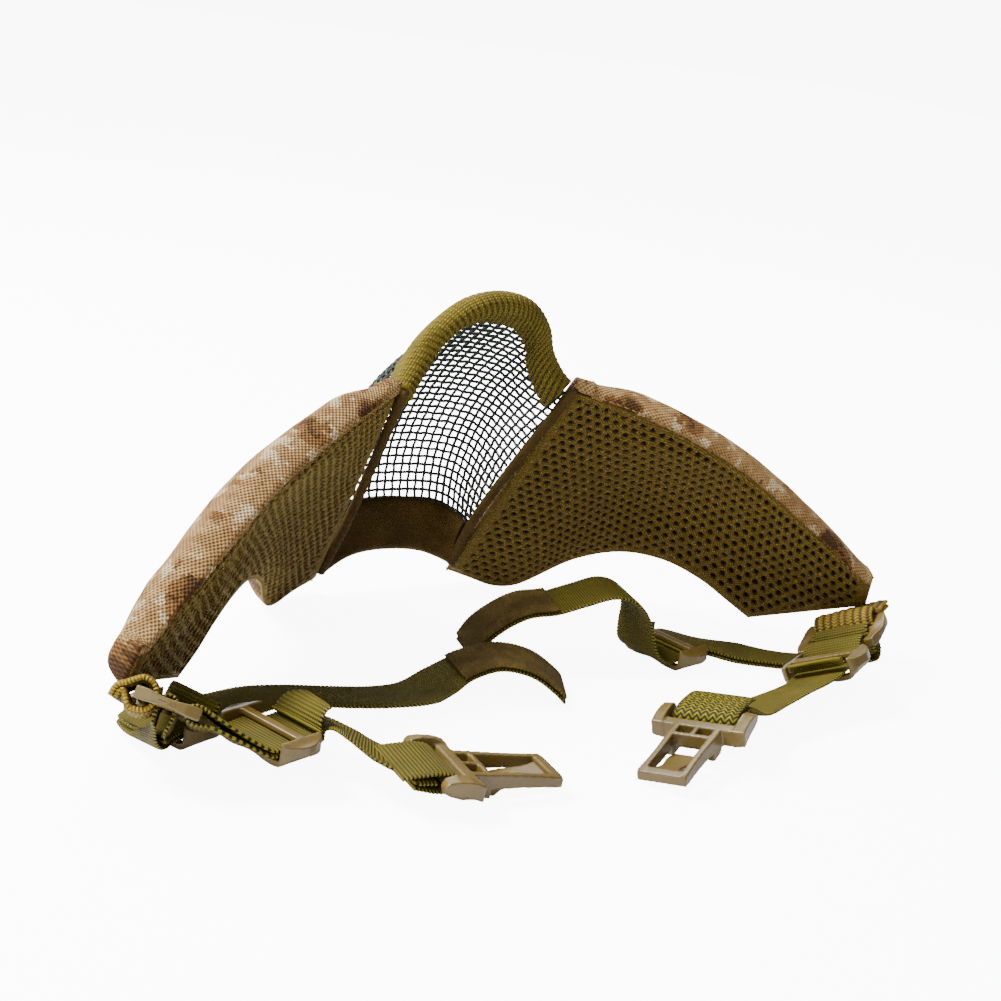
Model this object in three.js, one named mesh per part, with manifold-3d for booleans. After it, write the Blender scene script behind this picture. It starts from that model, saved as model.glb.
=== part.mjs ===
// Half-face mask for field sports: a woven steel mesh face panel, a padded nose
// binding and a chin band, two padded cheek wings, and on each wing an end loop, a
// three-bar ring, a webbing line with a helmet-rail clip and an elastic line.
// Units are millimetres. The row frame has +Z up, +Y towards the wearer's nose and
// +X towards the wearer's right. The mask stands as it rests on a table: on its two
// jaw corners and on the buckles under the wing ends, leaned back.
import * as THREE from "three";
import { mergeVertices } from "three/addons/utils/BufferGeometryUtils.js";
import Module from "manifold-3d";

const wasm = await Module();
wasm.setup();

// ---------------------------------------------------------------- driving sizes
const LEAN = THREE.MathUtils.degToRad(20); // backward lean of the standing mask
const REST_LIFT = 4.74; // brings the jaw corners down to Z = 0
const REST_SHIFT_X = 1.41; // brings the middle of the base to X = 0
const REST_SHIFT_Y = 35.88; // to Y = 0
const REST_SHIFT_Z = 0.07; // and its lowest point to Z = 0
const GAP = 0.3; // clearance between touching pieces
const FOLD_GAP = 1.6; // clearance between the face panel and a wing
const BINDING_GAP = 2.6; // clearance between the nose binding and a wing's hem
const BROW_HALF_WIDTH = 33;
const FACE_HALF_WIDTH = 28;
const CHIN_HALF_WIDTH = 27;

const MESH_THICKNESS = 1.0;
const MESH_INSET = 1.6; // how far the mesh edge stops short of a band's outer edge
const BINDING_DEPTH = 10; // nose binding, from its edge into the mesh
const BINDING_ROLL = 2.6; // how far the padded roll stands past the mesh edge
const BINDING_HALF = 3.6;
const CHIN_DEPTH = 17;
const CHIN_HALF = 2.4;

const PAD_THICKNESS = 12; // wing thickness at its fullest
const LINING_THICKNESS = 1.6;
const COVER_THICKNESS = 1.2;
const HEM_LENGTH = 5; // folded front edge of the wing

const WEB_WIDTH = 20;
const WEB_THICKNESS = 1.2;
const BAR_RADIUS = 1.4;
const RING_LENGTH = 30; // along its bars
const RING_HALF_PITCH = 7.4; // from the centre bar to either rail
const ADJUSTER_LENGTH = 30;
const ADJUSTER_HALF_PITCH = 5.6;
const RAIL_DEPTH = 2.0; // thickness of an adjuster's rails
const BRIDGE_DEPTH = 1.8; // thickness of an adjuster's raised centre bar
const PATCH_THICKNESS = 1.1;

const CLIP_LENGTH = 36; // strap bar to tip
const CLIP_BAR_LENGTH = 29;
const CLIP_HALF_WIDTH = 7.4;
const STOP_FACE = 14.6; // from the strap bar to the step that meets the helmet rail

// Colours, linear enough for a plain render.
const FINISH = {
  steel: { color: 0x23261f, roughness: 0.45, metalness: 0.8 },
  knit: { color: 0x7a6a33, roughness: 0.95, metalness: 0 },
  lining: { color: 0x5f5028, roughness: 0.95, metalness: 0 },
  foam: { color: 0x3c3a34, roughness: 1, metalness: 0 },
  camo: { color: 0xb89a74, roughness: 0.9, metalness: 0 },
  tape: { color: 0xa5873c, roughness: 0.9, metalness: 0 },
  webbing: { color: 0x6b6526, roughness: 0.85, metalness: 0 },
  patch: { color: 0x6e5c38, roughness: 1, metalness: 0 },
  plastic: { color: 0x8a7048, roughness: 0.5, metalness: 0 },
};

// ---------------------------------------------------------------- small helpers
const V = (x, y, z) => new THREE.Vector3(x, y, z);
const mix = (a, b, t) => a.clone().lerp(b, t);
const curve = (points) => new THREE.CatmullRomCurve3(points, false, "centripetal");

function signedVolume(positions, index) {
  let volume = 0;
  const [a, b, c] = [V(), V(), V()];
  for (let i = 0; i < index.length; i += 3) {
    a.fromArray(positions, 3 * index[i]);
    b.fromArray(positions, 3 * index[i + 1]);
    c.fromArray(positions, 3 * index[i + 2]);
    volume += a.dot(b.cross(c)) / 6;
  }
  return volume;
}

function geometryFrom(positions, index) {
  if (signedVolume(positions, index) < 0) {
    for (let i = 0; i < index.length; i += 3) {
      [index[i + 1], index[i + 2]] = [index[i + 2], index[i + 1]];
    }
  }
  const geometry = new THREE.BufferGeometry();
  geometry.setAttribute("position", new THREE.Float32BufferAttribute(positions, 3));
  geometry.setIndex(index);
  return geometry;
}

// A closed solid through a row of rings that all have the same number of points.
function loft(rings) {
  const count = rings[0].length;
  const positions = rings.flat().flatMap((p) => p.toArray());
  const index = [];
  for (let i = 0; i + 1 < rings.length; i++) {
    for (let j = 0; j < count; j++) {
      const a = i * count + j;
      const b = i * count + ((j + 1) % count);
      index.push(a, b, b + count, a, b + count, a + count);
    }
  }
  const capEnd = (ring, offset, flip) => {
    const origin = ring[0];
    const normal = V();
    for (let j = 1; j + 1 < count; j++) {
      normal.add(ring[j].clone().sub(origin).cross(ring[j + 1].clone().sub(origin)));
    }
    normal.normalize();
    const ex = ring[1].clone().sub(origin).normalize();
    const ey = normal.clone().cross(ex);
    const flat = ring.map((p) => {
      const d = p.clone().sub(origin);
      return new THREE.Vector2(d.dot(ex), d.dot(ey));
    });
    for (const [a, b, c] of THREE.ShapeUtils.triangulateShape(flat, [])) {
      index.push(...(flip ? [offset + c, offset + b, offset + a] : [offset + a, offset + b, offset + c]));
    }
  };
  capEnd(rings[0], 0, true);
  capEnd(rings[rings.length - 1], (rings.length - 1) * count, false);
  return geometryFrom(positions, index);
}

function toSolid(geometry) {
  const bare = geometry.clone();
  bare.deleteAttribute("normal");
  bare.deleteAttribute("uv");
  const merged = mergeVertices(bare, 1e-4);
  const vertProperties = new Float32Array(merged.attributes.position.array);
  const triVerts = new Uint32Array(merged.index.array);
  return new wasm.Manifold(new wasm.Mesh({ numProp: 3, vertProperties, triVerts }));
}

function fromSolid(solid) {
  const mesh = solid.getMesh();
  return geometryFrom(Array.from(mesh.vertProperties), Array.from(mesh.triVerts));
}

function box(x0, x1, y0, y1, z0, z1) {
  const geometry = new THREE.BoxGeometry(x1 - x0, y1 - y0, z1 - z0);
  geometry.translate((x0 + x1) / 2, (y0 + y1) / 2, (z0 + z1) / 2);
  return toSolid(geometry);
}

// A rod along Y.
function rod(x, z, radius, length) {
  const geometry = new THREE.CylinderGeometry(radius, radius, length, 10);
  geometry.translate(x, 0, z);
  return toSolid(geometry);
}

// An outline in X and Y, extruded from z0 to z1.
function plate(outline, z0, z1) {
  const shape = new THREE.Shape(outline.map(([x, y]) => new THREE.Vector2(x, y)));
  const geometry = new THREE.ExtrudeGeometry(shape, { depth: z1 - z0, bevelEnabled: false });
  geometry.translate(0, 0, z0);
  return toSolid(geometry);
}

// An outline in X and Z, extruded from y0 to y1.
function sidePlate(outline, y0, y1) {
  const shape = new THREE.Shape(outline.map(([x, z]) => new THREE.Vector2(x, z)));
  const geometry = new THREE.ExtrudeGeometry(shape, { depth: y1 - y0, bevelEnabled: false });
  geometry.rotateX(Math.PI / 2);
  geometry.translate(0, y1, 0);
  return toSolid(geometry);
}

const union = (solids) => solids.reduce((whole, solid) => whole.add(solid));

function piece(name, geometry, finish) {
  const material = new THREE.MeshStandardMaterial(FINISH[finish]);
  const mesh = new THREE.Mesh(geometry, material);
  mesh.name = name;
  return mesh;
}

// Mirrors a geometry in the plane X = 0 when side is -1.
function forSide(geometry, side) {
  if (side > 0) return geometry;
  const positions = Array.from(geometry.attributes.position.array);
  for (let i = 0; i < positions.length; i += 3) positions[i] = -positions[i];
  return geometryFrom(positions, Array.from(geometry.index.array));
}

// ---------------------------------------------------------------- face panel
// The worn frame: +Z up the face, +Y forward. The panel's outline is the nose arch,
// the two fold lines where the wings begin, and the chin line.
const foldLine = curve([V(27, 21.5, -3.5), V(26.5, 17.8, 19), V(29.3, 11, 52), V(32.5, 4.5, 80.5)]);
const noseArch = curve([
  V(-32.5, 4.5, 80.5),
  V(-27.5, 9.5, 84),
  V(-23, 13, 90),
  V(-18.5, 14, 99),
  V(-11, 15, 106),
  V(0, 15.5, 108.5),
  V(11, 15, 106),
  V(18.5, 14, 99),
  V(23, 13, 90),
  V(27.5, 9.5, 84),
  V(32.5, 4.5, 80.5),
]);
const chinLine = curve([
  V(-27, 21.5, -3.5),
  V(-14, 25.5, 0.5),
  V(0, 26.5, 1.5),
  V(14, 25.5, 0.5),
  V(27, 21.5, -3.5),
]);

// Coons surface over the outline, domed forward over the mouth and nose.
function facePoint(s, t) {
  const u = (s + 1) / 2;
  const right = foldLine.getPoint(Math.min(Math.max(t, 0), 1));
  const left = right.clone().setX(-right.x);
  const top = noseArch.getPoint(u);
  const bottom = chinLine.getPoint(u);
  const a = chinLine.getPoint(0);
  const b = chinLine.getPoint(1);
  const c = noseArch.getPoint(0);
  const d = noseArch.getPoint(1);
  const p = mix(left, right, u).add(mix(bottom, top, t));
  p.sub(mix(mix(a, b, u), mix(c, d, u), t));
  const across = 1 - s * s;
  const up = Math.sin(Math.PI * Math.pow(Math.min(Math.max(t, 0), 1), 0.9));
  p.y += 20 * Math.pow(across, 0.75) * up;
  p.x += 8 * Math.sin(Math.PI * s) * up;
  return p;
}

function faceNormal(s, t) {
  const h = 0.01;
  const s0 = Math.min(Math.max(s, -0.97), 0.97);
  const t0 = Math.min(Math.max(t, 0.02), 0.98);
  const ds = facePoint(s0 + h, t0).sub(facePoint(s0 - h, t0));
  const dt = facePoint(s0, t0 + h).sub(facePoint(s0, t0 - h));
  return ds.cross(dt).normalize().negate();
}

// Point at a depth in millimetres from the top or bottom edge, offset along the normal.
function facePointAt(s, depth, offset, fromTop) {
  const edge = fromTop ? 1 : 0;
  const inward = fromTop ? -1 : 1;
  let t = edge;
  const step = 0.01;
  if (depth >= 0) {
    let walked = 0;
    let last = facePoint(s, edge);
    while (walked < depth) {
      const next = facePoint(s, t + inward * step);
      const length = next.distanceTo(last);
      const share = Math.min(1, (depth - walked) / length);
      t += inward * step * share;
      walked += length * share + 1e-9;
      last = facePoint(s, t);
    }
  }
  const p = facePoint(s, t);
  if (depth < 0) {
    const out = facePoint(s, edge).sub(facePoint(s, edge + inward * 0.04)).normalize();
    p.addScaledVector(out, -depth);
  }
  return p.addScaledVector(faceNormal(s, t), offset);
}

function meshFace() {
  const [columns, rows] = [18, 16];
  const edgeShare = 1 - FOLD_GAP / FACE_HALF_WIDTH;
  const rings = [];
  for (let i = 0; i <= columns; i++) {
    const s = edgeShare * (-1 + (2 * i) / columns);
    const bottom = facePointAt(s, MESH_INSET, 0, false);
    const top = facePointAt(s, MESH_INSET, 0, true);
    const outer = [];
    const inner = [];
    for (let j = 0; j <= rows; j++) {
      const t = j / rows;
      const onEdge = j === 0 ? bottom : j === rows ? top : null;
      const tt = 0.03 + 0.94 * t;
      const p = onEdge ?? facePoint(s, tt);
      const n = faceNormal(s, tt).multiplyScalar(MESH_THICKNESS / 2);
      outer.push(p.clone().add(n));
      inner.push(p.clone().sub(n));
    }
    rings.push([...outer, ...inner.reverse()]);
  }
  return loft(rings);
}

// A folded band that grips the mesh edge: a channel section swept along that edge.
function edgeBand(depth, half, roll, stations, shareAtEnds, fromTop) {
  const slot = MESH_THICKNESS / 2 + 2 * GAP;
  const rings = [];
  for (let i = 0; i <= stations; i++) {
    const s = shareAtEnds * (-1 + (2 * i) / stations);
    const at = (d, n) => facePointAt(s, d, n, fromTop);
    const floor = MESH_INSET - GAP;
    rings.push([
      at(depth, slot),
      at(depth * 0.75, slot),
      at(depth * 0.5, slot),
      at(depth * 0.25, slot),
      at(floor, slot),
      at(floor, -slot),
      at(depth * 0.25, -slot),
      at(depth * 0.5, -slot),
      at(depth * 0.75, -slot),
      at(depth, -slot),
      at(depth, -half * 0.6),
      at(depth * 0.5, -half),
      at(0, -half),
      at(-roll, -half * 0.5),
      at(-roll, half * 0.5),
      at(0, half),
      at(depth * 0.5, half),
      at(depth, half * 0.6),
    ]);
  }
  return loft(rings);
}

// ---------------------------------------------------------------- wings
// The inner surface of the right wing runs between its lower and its upper seam.
// Between the corner and the end the lower seam is straight: it carries the end loop.
const CORNER_SHARE = 0.78;
const WING_CORNER = V(105, -43, 18.5);
const WING_END = V(131, -62, 38);
const lowerArch = curve([
  V(27, 21.5, -9),
  V(34, 19, -10.6),
  V(42, 14.5, -11.3),
  V(48, 10.5, -8.2),
  V(60, 0, 12),
  V(70, -9, 22),
  V(80, -19, 26),
  V(90, -29, 25),
  V(98, -37, 21.7),
  WING_CORNER,
]);
const upperSeam = curve([
  V(33, 4.5, 84),
  V(50, -7, 83.5),
  V(67, -18, 80.5),
  V(84, -29, 75.5),
  V(107, -46, 64.5),
  V(128, -61, 51.5),
]);

function lowerSeam(u) {
  if (u < CORNER_SHARE) return lowerArch.getPointAt(u / CORNER_SHARE);
  return mix(WING_CORNER, WING_END, (u - CORNER_SHARE) / (1 - CORNER_SHARE));
}

function wingFrame(u) {
  const low = lowerSeam(u);
  const high = upperSeam.getPointAt(u);
  const h = 0.02;
  const [u0, u1] = [Math.max(0, u - h), Math.min(1, u + h)];
  const along = mix(lowerSeam(u1), upperSeam.getPointAt(u1), 0.5);
  along.sub(mix(lowerSeam(u0), upperSeam.getPointAt(u0), 0.5)).normalize();
  const up = high.clone().sub(low);
  const height = up.length();
  up.normalize();
  const out = along.clone().cross(up).negate().normalize();
  if (out.y < 0) out.negate();
  const puff = Math.sin(Math.PI * Math.min(1, Math.max(0, u)));
  return { low, up, out, height, puff };
}

// Height share w and thickness n of the wing become a point in space. The middle of the
// wing bows outwards.
function wingPoint(frame, w, n) {
  const share = Math.min(1, Math.max(0, w / frame.height));
  const bow = 5 * frame.puff * Math.sin(Math.PI * share);
  return frame.low.clone().addScaledVector(frame.up, w).addScaledVector(frame.out, n + bow);
}

function thicknessAt(u) {
  const rise = THREE.MathUtils.smoothstep(u, 0, 0.2);
  const fall = 1 - THREE.MathUtils.smoothstep(u, 0.85, 1);
  return PAD_THICKNESS * (0.5 + 0.5 * rise) * (0.75 + 0.25 * fall);
}

function wingSolid(u0, u1, stations, section) {
  const rings = [];
  for (let i = 0; i <= stations; i++) {
    const u = u0 + ((u1 - u0) * i) / stations;
    const frame = wingFrame(u);
    const points = section(frame.height, thicknessAt(u));
    rings.push(points.map(([w, n]) => wingPoint(frame, w, n)));
  }
  return loft(rings);
}

// Sections run from the lower seam; w is height along the wing, n is outwards.
const foamSection = (h, t) => {
  const inner = LINING_THICKNESS + 2 * GAP;
  const outer = t - COVER_THICKNESS - 2 * GAP;
  const foot = Math.min(0.2 * h, 8);
  const [low, high] = [5, h - COVER_THICKNESS - 2 * GAP];
  const seam = inner + 1.2;
  const mid = (inner + outer) / 2;
  return [
    [low, seam],
    [foot, inner],
    [h * 0.5, inner],
    [h - 3, inner],
    [high, inner + 1.2],
    [high, mid],
    [high - 0.12 * h, outer],
    [h * 0.5, outer],
    [foot, outer],
    [low, seam + 1.0],
  ];
};

const liningSection = (h) => {
  const foot = Math.min(0.2 * h, 8);
  const top = h - 3;
  return [
    [0.6, 0.5],
    [foot, 0],
    [h * 0.5, 0],
    [top, 0],
    [top, LINING_THICKNESS],
    [h * 0.5, LINING_THICKNESS],
    [foot + 0.4, LINING_THICKNESS],
    [1.2, 2.0],
  ];
};

const coverSection = (h, t) => {
  const c = COVER_THICKNESS;
  const outer = t - c;
  const foot = Math.min(0.2 * h, 8);
  const mid = (LINING_THICKNESS + GAP + outer - GAP) / 2;
  return [
    [0, 2.6],
    [foot * 0.35, t * 0.7],
    [foot, t],
    [h * 0.5, t],
    [h * 0.88, t],
    [h, mid + 0.9],
    [h, 0],
    [h - 2.6, 0],
    [h - 2.6, LINING_THICKNESS],
    [h - c, LINING_THICKNESS + 0.6],
    [h - c, mid + 0.4],
    [h * 0.88 - c * 0.6, outer],
    [h * 0.5, outer],
    [foot + 0.3, outer],
    [foot * 0.35 + 0.9, t * 0.7 - 0.9],
    [1.3, 2.9],
  ];
};

// The folded front edge that closes the wing sandwich beside the face panel.
const hemSection = (h, t) => [
  [0.4, 0.6],
  [h * 0.5, 0],
  [h - 0.4, 0.6],
  [h - 0.4, t - 0.6],
  [h * 0.5, t],
  [0.4, t - 0.6],
];

// ---------------------------------------------------------------- webbing
// Place, width direction and normal at a share of a band's centre line.
function bandFrame(line, sides, share) {
  const at = line.getPoint(share);
  const reach = share * (sides.length - 1);
  const k = Math.min(Math.floor(reach), sides.length - 2);
  const side = mix(sides[k], sides[k + 1], reach - k).normalize();
  const normal = line.getTangent(share).cross(side).normalize();
  return { at, side, normal };
}

// The four corners of a band's section.
function bandRing(at, side, normal, width, thickness) {
  const corners = [[-1, -1], [1, -1], [1, 1], [-1, 1]];
  return corners.map(([a, b]) => {
    const p = at.clone().addScaledVector(side, (a * width) / 2);
    return p.addScaledVector(normal, (b * thickness) / 2);
  });
}

// A flat ribbon on a route, from one share of its length to another, lifted off the
// centre line along its normal. A route has one direction of width for every point.
function ribbon({ points, sides }, [from, to], lift, thickness, steps) {
  const line = curve(points);
  const rings = [];
  for (let i = 0; i <= steps; i++) {
    const { at, side, normal } = bandFrame(line, sides, from + ((to - from) * i) / steps);
    const up = normal.z < 0 ? -1 : 1;
    at.addScaledVector(normal, lift * up);
    rings.push(bandRing(at, side, normal, WEB_WIDTH, thickness));
  }
  return loft(rings);
}

// A doubled band that goes out along a run, round a bar at its end, and back. The gap
// between its layers opens from flat to full at the bar.
function doubledBand(points, sides) {
  const line = curve(points);
  const wrap = BAR_RADIUS + GAP + WEB_THICKNESS / 2;
  const flat = (WEB_THICKNESS + GAP) / 2;
  const [runSteps, turnSteps] = [14, 6];
  const there = [];
  const turn = [];
  const back = [];
  for (let i = 0; i <= runSteps; i++) {
    const share = i / runSteps;
    const { at, side, normal } = bandFrame(line, sides, share);
    const open = THREE.MathUtils.smoothstep(share, 0.55, 0.95);
    const half = flat + (wrap - flat) * open;
    there.push({ p: at.clone().addScaledVector(normal, half), side });
    back.push({ p: at.clone().addScaledVector(normal, -half), side });
    for (let j = 1; i === runSteps && j < turnSteps; j++) {
      const angle = (Math.PI * j) / turnSteps;
      const p = at.clone().addScaledVector(normal, wrap * Math.cos(angle));
      const onward = side.clone().cross(normal);
      turn.push({ p: p.addScaledVector(onward, wrap * Math.sin(angle)), side });
    }
  }
  const path = [...there, ...turn, ...back.reverse()];
  const rings = path.map(({ p, side }, i) => {
    const before = path[Math.max(i - 1, 0)].p;
    const after = path[Math.min(i + 1, path.length - 1)].p;
    const normal = after.clone().sub(before).cross(side).normalize();
    return bandRing(p, side, normal, WEB_WIDTH, WEB_THICKNESS);
  });
  return loft(rings);
}

// ---------------------------------------------------------------- plastic hardware
// Buckles lie in a local frame: X the way the webbing runs, Y along the bars, Z up.
function endEar(side, length, halfPitch, z0, z1) {
  const [inside, outside] = [side * (WEB_WIDTH / 2 + 0.8), (side * length) / 2];
  const reach = halfPitch + BAR_RADIUS;
  const outline = [
    [-reach, inside],
    [-reach, outside - side * 1.6],
    [-reach * 0.55, outside - side * 0.5],
    [0, outside],
    [reach * 0.55, outside - side * 0.5],
    [reach, outside - side * 1.6],
    [reach, inside],
  ];
  return plate(outline, z0, z1);
}

function ringSolid() {
  const ears = [-1, 1].map((side) => endEar(side, RING_LENGTH, RING_HALF_PITCH, -BAR_RADIUS, BAR_RADIUS));
  const bars = [-1, 0, 1].map((k) => rod(k * RING_HALF_PITCH, 0, BAR_RADIUS, WEB_WIDTH + 5));
  return fromSolid(union([...ears, ...bars]));
}

function adjusterSolid() {
  const rise = 2 * WEB_THICKNESS + 3 * GAP;
  const ears = [-1, 1].map((side) => {
    return endEar(side, ADJUSTER_LENGTH, ADJUSTER_HALF_PITCH, -RAIL_DEPTH, rise + BRIDGE_DEPTH);
  });
  const half = WEB_WIDTH / 2 + 2;
  const rails = [-1, 1].map((k) => {
    const x = k * ADJUSTER_HALF_PITCH;
    return box(x - BAR_RADIUS, x + BAR_RADIUS, -half, half, -RAIL_DEPTH, 0);
  });
  const bridge = box(-BAR_RADIUS, BAR_RADIUS, -half, half, rise, rise + BRIDGE_DEPTH);
  return fromSolid(union([...ears, ...rails, bridge]));
}

// Rail clip: X from the strap bar to the tip, Y along the strap bar.
const TONGUE_ROOT = 31.5;
function clipSolid() {
  const w = CLIP_HALF_WIDTH;
  const finHalf = CLIP_BAR_LENGTH / 2;
  const strapBar = rod(0, 0, BAR_RADIUS, 2 * WEB_WIDTH * 0.55 + 3);
  const fin = [
    [-3.4, 0.6],
    [-2.4, 2.8],
    [0.4, 3.6],
    [4.2, 3.4],
    [8.6, 1.8],
    [8.6, -3.4],
    [4, -4.0],
    [0, -3.0],
    [-2.6, -1.6],
  ];
  const leftFin = sidePlate(fin, -finHalf, -finHalf + 3.6);
  const rightFin = sidePlate(fin, finHalf - 3.6, finHalf);
  const crossPlate = box(4.6, 8.4, -finHalf + 1, finHalf - 1, -3.4, 1.8);
  const railOutline = [
    [8, 1.8],
    [CLIP_LENGTH - 0.8, 1.2],
    [CLIP_LENGTH, 0.4],
    [CLIP_LENGTH, -2.0],
    [STOP_FACE, -2.8],
    [STOP_FACE, -5.4],
    [9.4, -5.2],
    [8, -3.4],
  ];
  const rails = [-1, 1].map((k) => sidePlate(railOutline, k > 0 ? w - 2.2 : -w, k > 0 ? w : -w + 2.2));
  const rib = box(12.2, 13.8, -w + 1, w - 1, -2.8, 1.7);
  const centreRib = box(8, 12.6, -0.8, 0.8, -2.8, 1.7);
  const tip = box(TONGUE_ROOT + 1.2, CLIP_LENGTH, -w + 1, w - 1, -2.0, 1.15);
  return fromSolid(union([strapBar, leftFin, rightFin, crossPlate, ...rails, rib, centreRib, tip]));
}

// The spring tongue starts at the tip and slopes down towards the base, where it ends
// in a catch. Its sides are waved.
function tongueSolid() {
  const half = CLIP_HALF_WIDTH - 2.2 - 0.7;
  const waves = [
    [TONGUE_ROOT + 0.9, half - 0.6],
    [28.5, half - 1.5],
    [25.5, half - 0.9],
    [22, half - 0.1],
    [16.2, half],
  ];
  const outline = [...waves, ...waves.slice().reverse().map(([x, y]) => [x, -y])];
  const top = plate(outline, -8, 3);
  const side = [
    [TONGUE_ROOT + 0.9, 0.6],
    [16, -3.4],
    [16, -6.2],
    [17.6, -6.2],
    [19, -4.4],
    [TONGUE_ROOT + 0.9, -1.2],
  ];
  return fromSolid(top.intersect(sidePlate(side, -half, half)));
}

// ---------------------------------------------------------------- harness layout
// Where the hardware of each side lies on the table, before the final shift in Y.
// "run" is the way a strap leaves its buckle, "bars" the way the buckle's bars point.
const HARNESS = {
  right: {
    ring: { at: V(117, -80, 14.5), run: V(-0.8, -0.55, -0.24), bars: V(0.4, -0.78, 0.48) },
    tapeStart: V(132.6, -70.5, 18.4),
    tapeSide: V(0.5, -0.7, 0.5),
    tapeWay: V(-0.8, -0.55, -0.24),
    clipAdjuster: { at: V(99.5, -93, 9.5), run: V(-0.9, -0.42, -0.12), bars: V(0.36, -0.8, 0.48) },
    clipStrap: [V(84, -98.6, 8.2), V(74, -100.6, 7.2), V(62, -103.6, 6.4), V(50, -107.4, 7)],
    clipSides: [V(0.33, -0.83, 0.45), V(0.32, -0.85, 0.42), V(0.34, -0.87, 0.36), V(0.4, -0.87, 0.28)],
    clip: { at: V(32, -113.5, 9.8), run: V(-0.86, -0.51, -0.16), bars: V(0.5, -0.84, 0.2) },
    elasticAdjuster: { at: V(66.5, -51, 2), run: V(-0.98, -0.21, 0), bars: V(0.21, -0.98, 0) },
    elasticRise: [V(84, -56.5, 2.6), V(96, -64, 2.6), V(107, -71.2, 2.75), V(117, -80, 6.3)],
    drop: 8,
    elasticStrap: [
      V(53.2, -53, 5.5),
      V(51.6, -52.3, 11),
      V(51, -51.8, 16),
      V(48.8, -51.2, 21),
      V(44.5, -50, 24.4),
      V(39, -48.4, 25.2),
      V(30, -46, 22.4),
      V(21.5, -43.5, 19.4),
      V(12.5, -41.2, 18),
      V(5.5, -39.4, 14.2),
      V(0, -37.8, 9),
      V(-3.2, -36.6, 2.4),
    ],
    elasticSides: [
      V(0.15, -0.98, 0),
      V(0, -1, 0),
      V(-0.1, -1, 0),
      V(-0.2, -0.98, 0),
      V(-0.25, -0.97, 0),
      V(-0.28, -0.96, 0),
      V(-0.3, -0.95, 0),
      V(-0.3, -0.95, 0),
      V(-0.3, -0.95, 0),
      V(-0.3, -0.95, 0),
      V(-0.28, -0.96, 0),
      V(-0.25, -0.97, 0),
    ],
    patchFrom: 0.71,
  },
  left: {
    ring: { at: V(-124.4, -81, 17.3), run: V(0.8, -0.55, -0.24), bars: V(-0.4, -0.78, 0.48) },
    tapeStart: V(-134.9, -73.4, 16.9),
    tapeSide: V(-0.5, -0.7, 0.5),
    tapeWay: V(0.8, -0.55, -0.24),
    clipAdjuster: { at: V(-99.3, -90.7, 9.6), run: V(0.957, 0.29, 0), bars: V(0.29, -0.957, 0) },
    clipStrap: [
      V(-87, -86.5, 11.6),
      V(-82.5, -90, 12),
      V(-79, -97, 11.4),
      V(-76, -105, 10),
      V(-71, -112, 8.4),
    ],
    clipSides: [
      V(0.1, -0.99, 0.1),
      V(-0.3, -0.92, 0.25),
      V(-0.55, -0.8, 0.3),
      V(-0.5, -0.84, 0.2),
      V(-0.25, -0.96, 0.06),
    ],
    clip: { at: V(-63, -115, 8), run: V(0.99, -0.12, -0.09), bars: V(0.12, 0.99, 0) },
    elasticAdjuster: { at: V(-113.3, -60.8, 2), run: V(0.93, 0.35, 0), bars: V(0.35, -0.93, 0) },
    elasticRise: [V(-124.5, -67, 3.8), V(-127, -75, 6.4)],
    drop: 6,
    elasticStrap: [
      V(-94, -54.5, 2.2),
      V(-83, -52.8, 2.7),
      V(-72, -54.5, 2.7),
      V(-60, -58.5, 2.7),
      V(-48, -61.5, 2.7),
      V(-36, -61.5, 2.7),
      V(-27, -58.8, 4.2),
      V(-17, -57.6, 7.6),
      V(-7, -60, 10.2),
      V(2, -64.2, 8.8),
      V(8.3, -68, 4.6),
      V(11, -70, 1.9),
    ],
    elasticSides: [
      V(0.3, -0.95, 0.05),
      V(0.15, -0.98, 0.1),
      V(-0.1, -0.99, 0.12),
      V(-0.2, -0.97, 0.12),
      V(-0.12, -0.98, 0.12),
      V(0.1, -0.99, 0.1),
      V(0, -1, 0.05),
      V(-0.3, -0.95, 0),
      V(-0.45, -0.89, 0),
      V(-0.48, -0.88, 0),
      V(-0.48, -0.88, 0),
      V(-0.48, -0.88, 0),
    ],
    patchFrom: 0.69,
  },
};

// A buckle's local frame as a matrix.
function frameOf({ at, run, bars }) {
  const x = run.clone().normalize();
  const z = x.clone().cross(bars).normalize();
  if (z.z < 0) z.negate();
  const y = z.clone().cross(x);
  return new THREE.Matrix4().makeBasis(x, y, z).setPosition(at);
}

function placed(geometry, layout) {
  return geometry.clone().applyMatrix4(frameOf(layout));
}

const inFrame = (layout, x, y, z) => V(x, y, z).applyMatrix4(frameOf(layout));
const LOWER_LAYER = GAP + WEB_THICKNESS / 2;
const LAYER_MIDDLE = 1.5 * GAP + WEB_THICKNESS;

// A doubled band from inside an adjuster, over the points given, to a bar of the ring.
function ringLoop({ ring }, adjuster, bar, rise) {
  const start = [1, -3, -8].map((x) => inFrame(adjuster, x, 0, LAYER_MIDDLE));
  const end = inFrame(ring, bar * RING_HALF_PITCH, 0, 0);
  const turned = rise.map((p, i) => THREE.MathUtils.smoothstep((i + 1) / rise.length, 0.4, 1));
  const near = turned.map((share) => mix(adjuster.bars, ring.bars, share));
  const sides = [adjuster.bars, adjuster.bars, adjuster.bars, ...near, ring.bars];
  return doubledBand([...start, ...rise, end], sides);
}

// The straight length that an adjuster slides on, then the free part of the strap.
function strapRoute(adjuster, points, sides) {
  const straight = [1.3, 5.5, 10].map((x) => inFrame(adjuster, x, 0, LOWER_LAYER));
  const flat = straight.map(() => adjuster.bars);
  return { points: [...straight, ...points], sides: [...flat, ...sides] };
}

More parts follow.
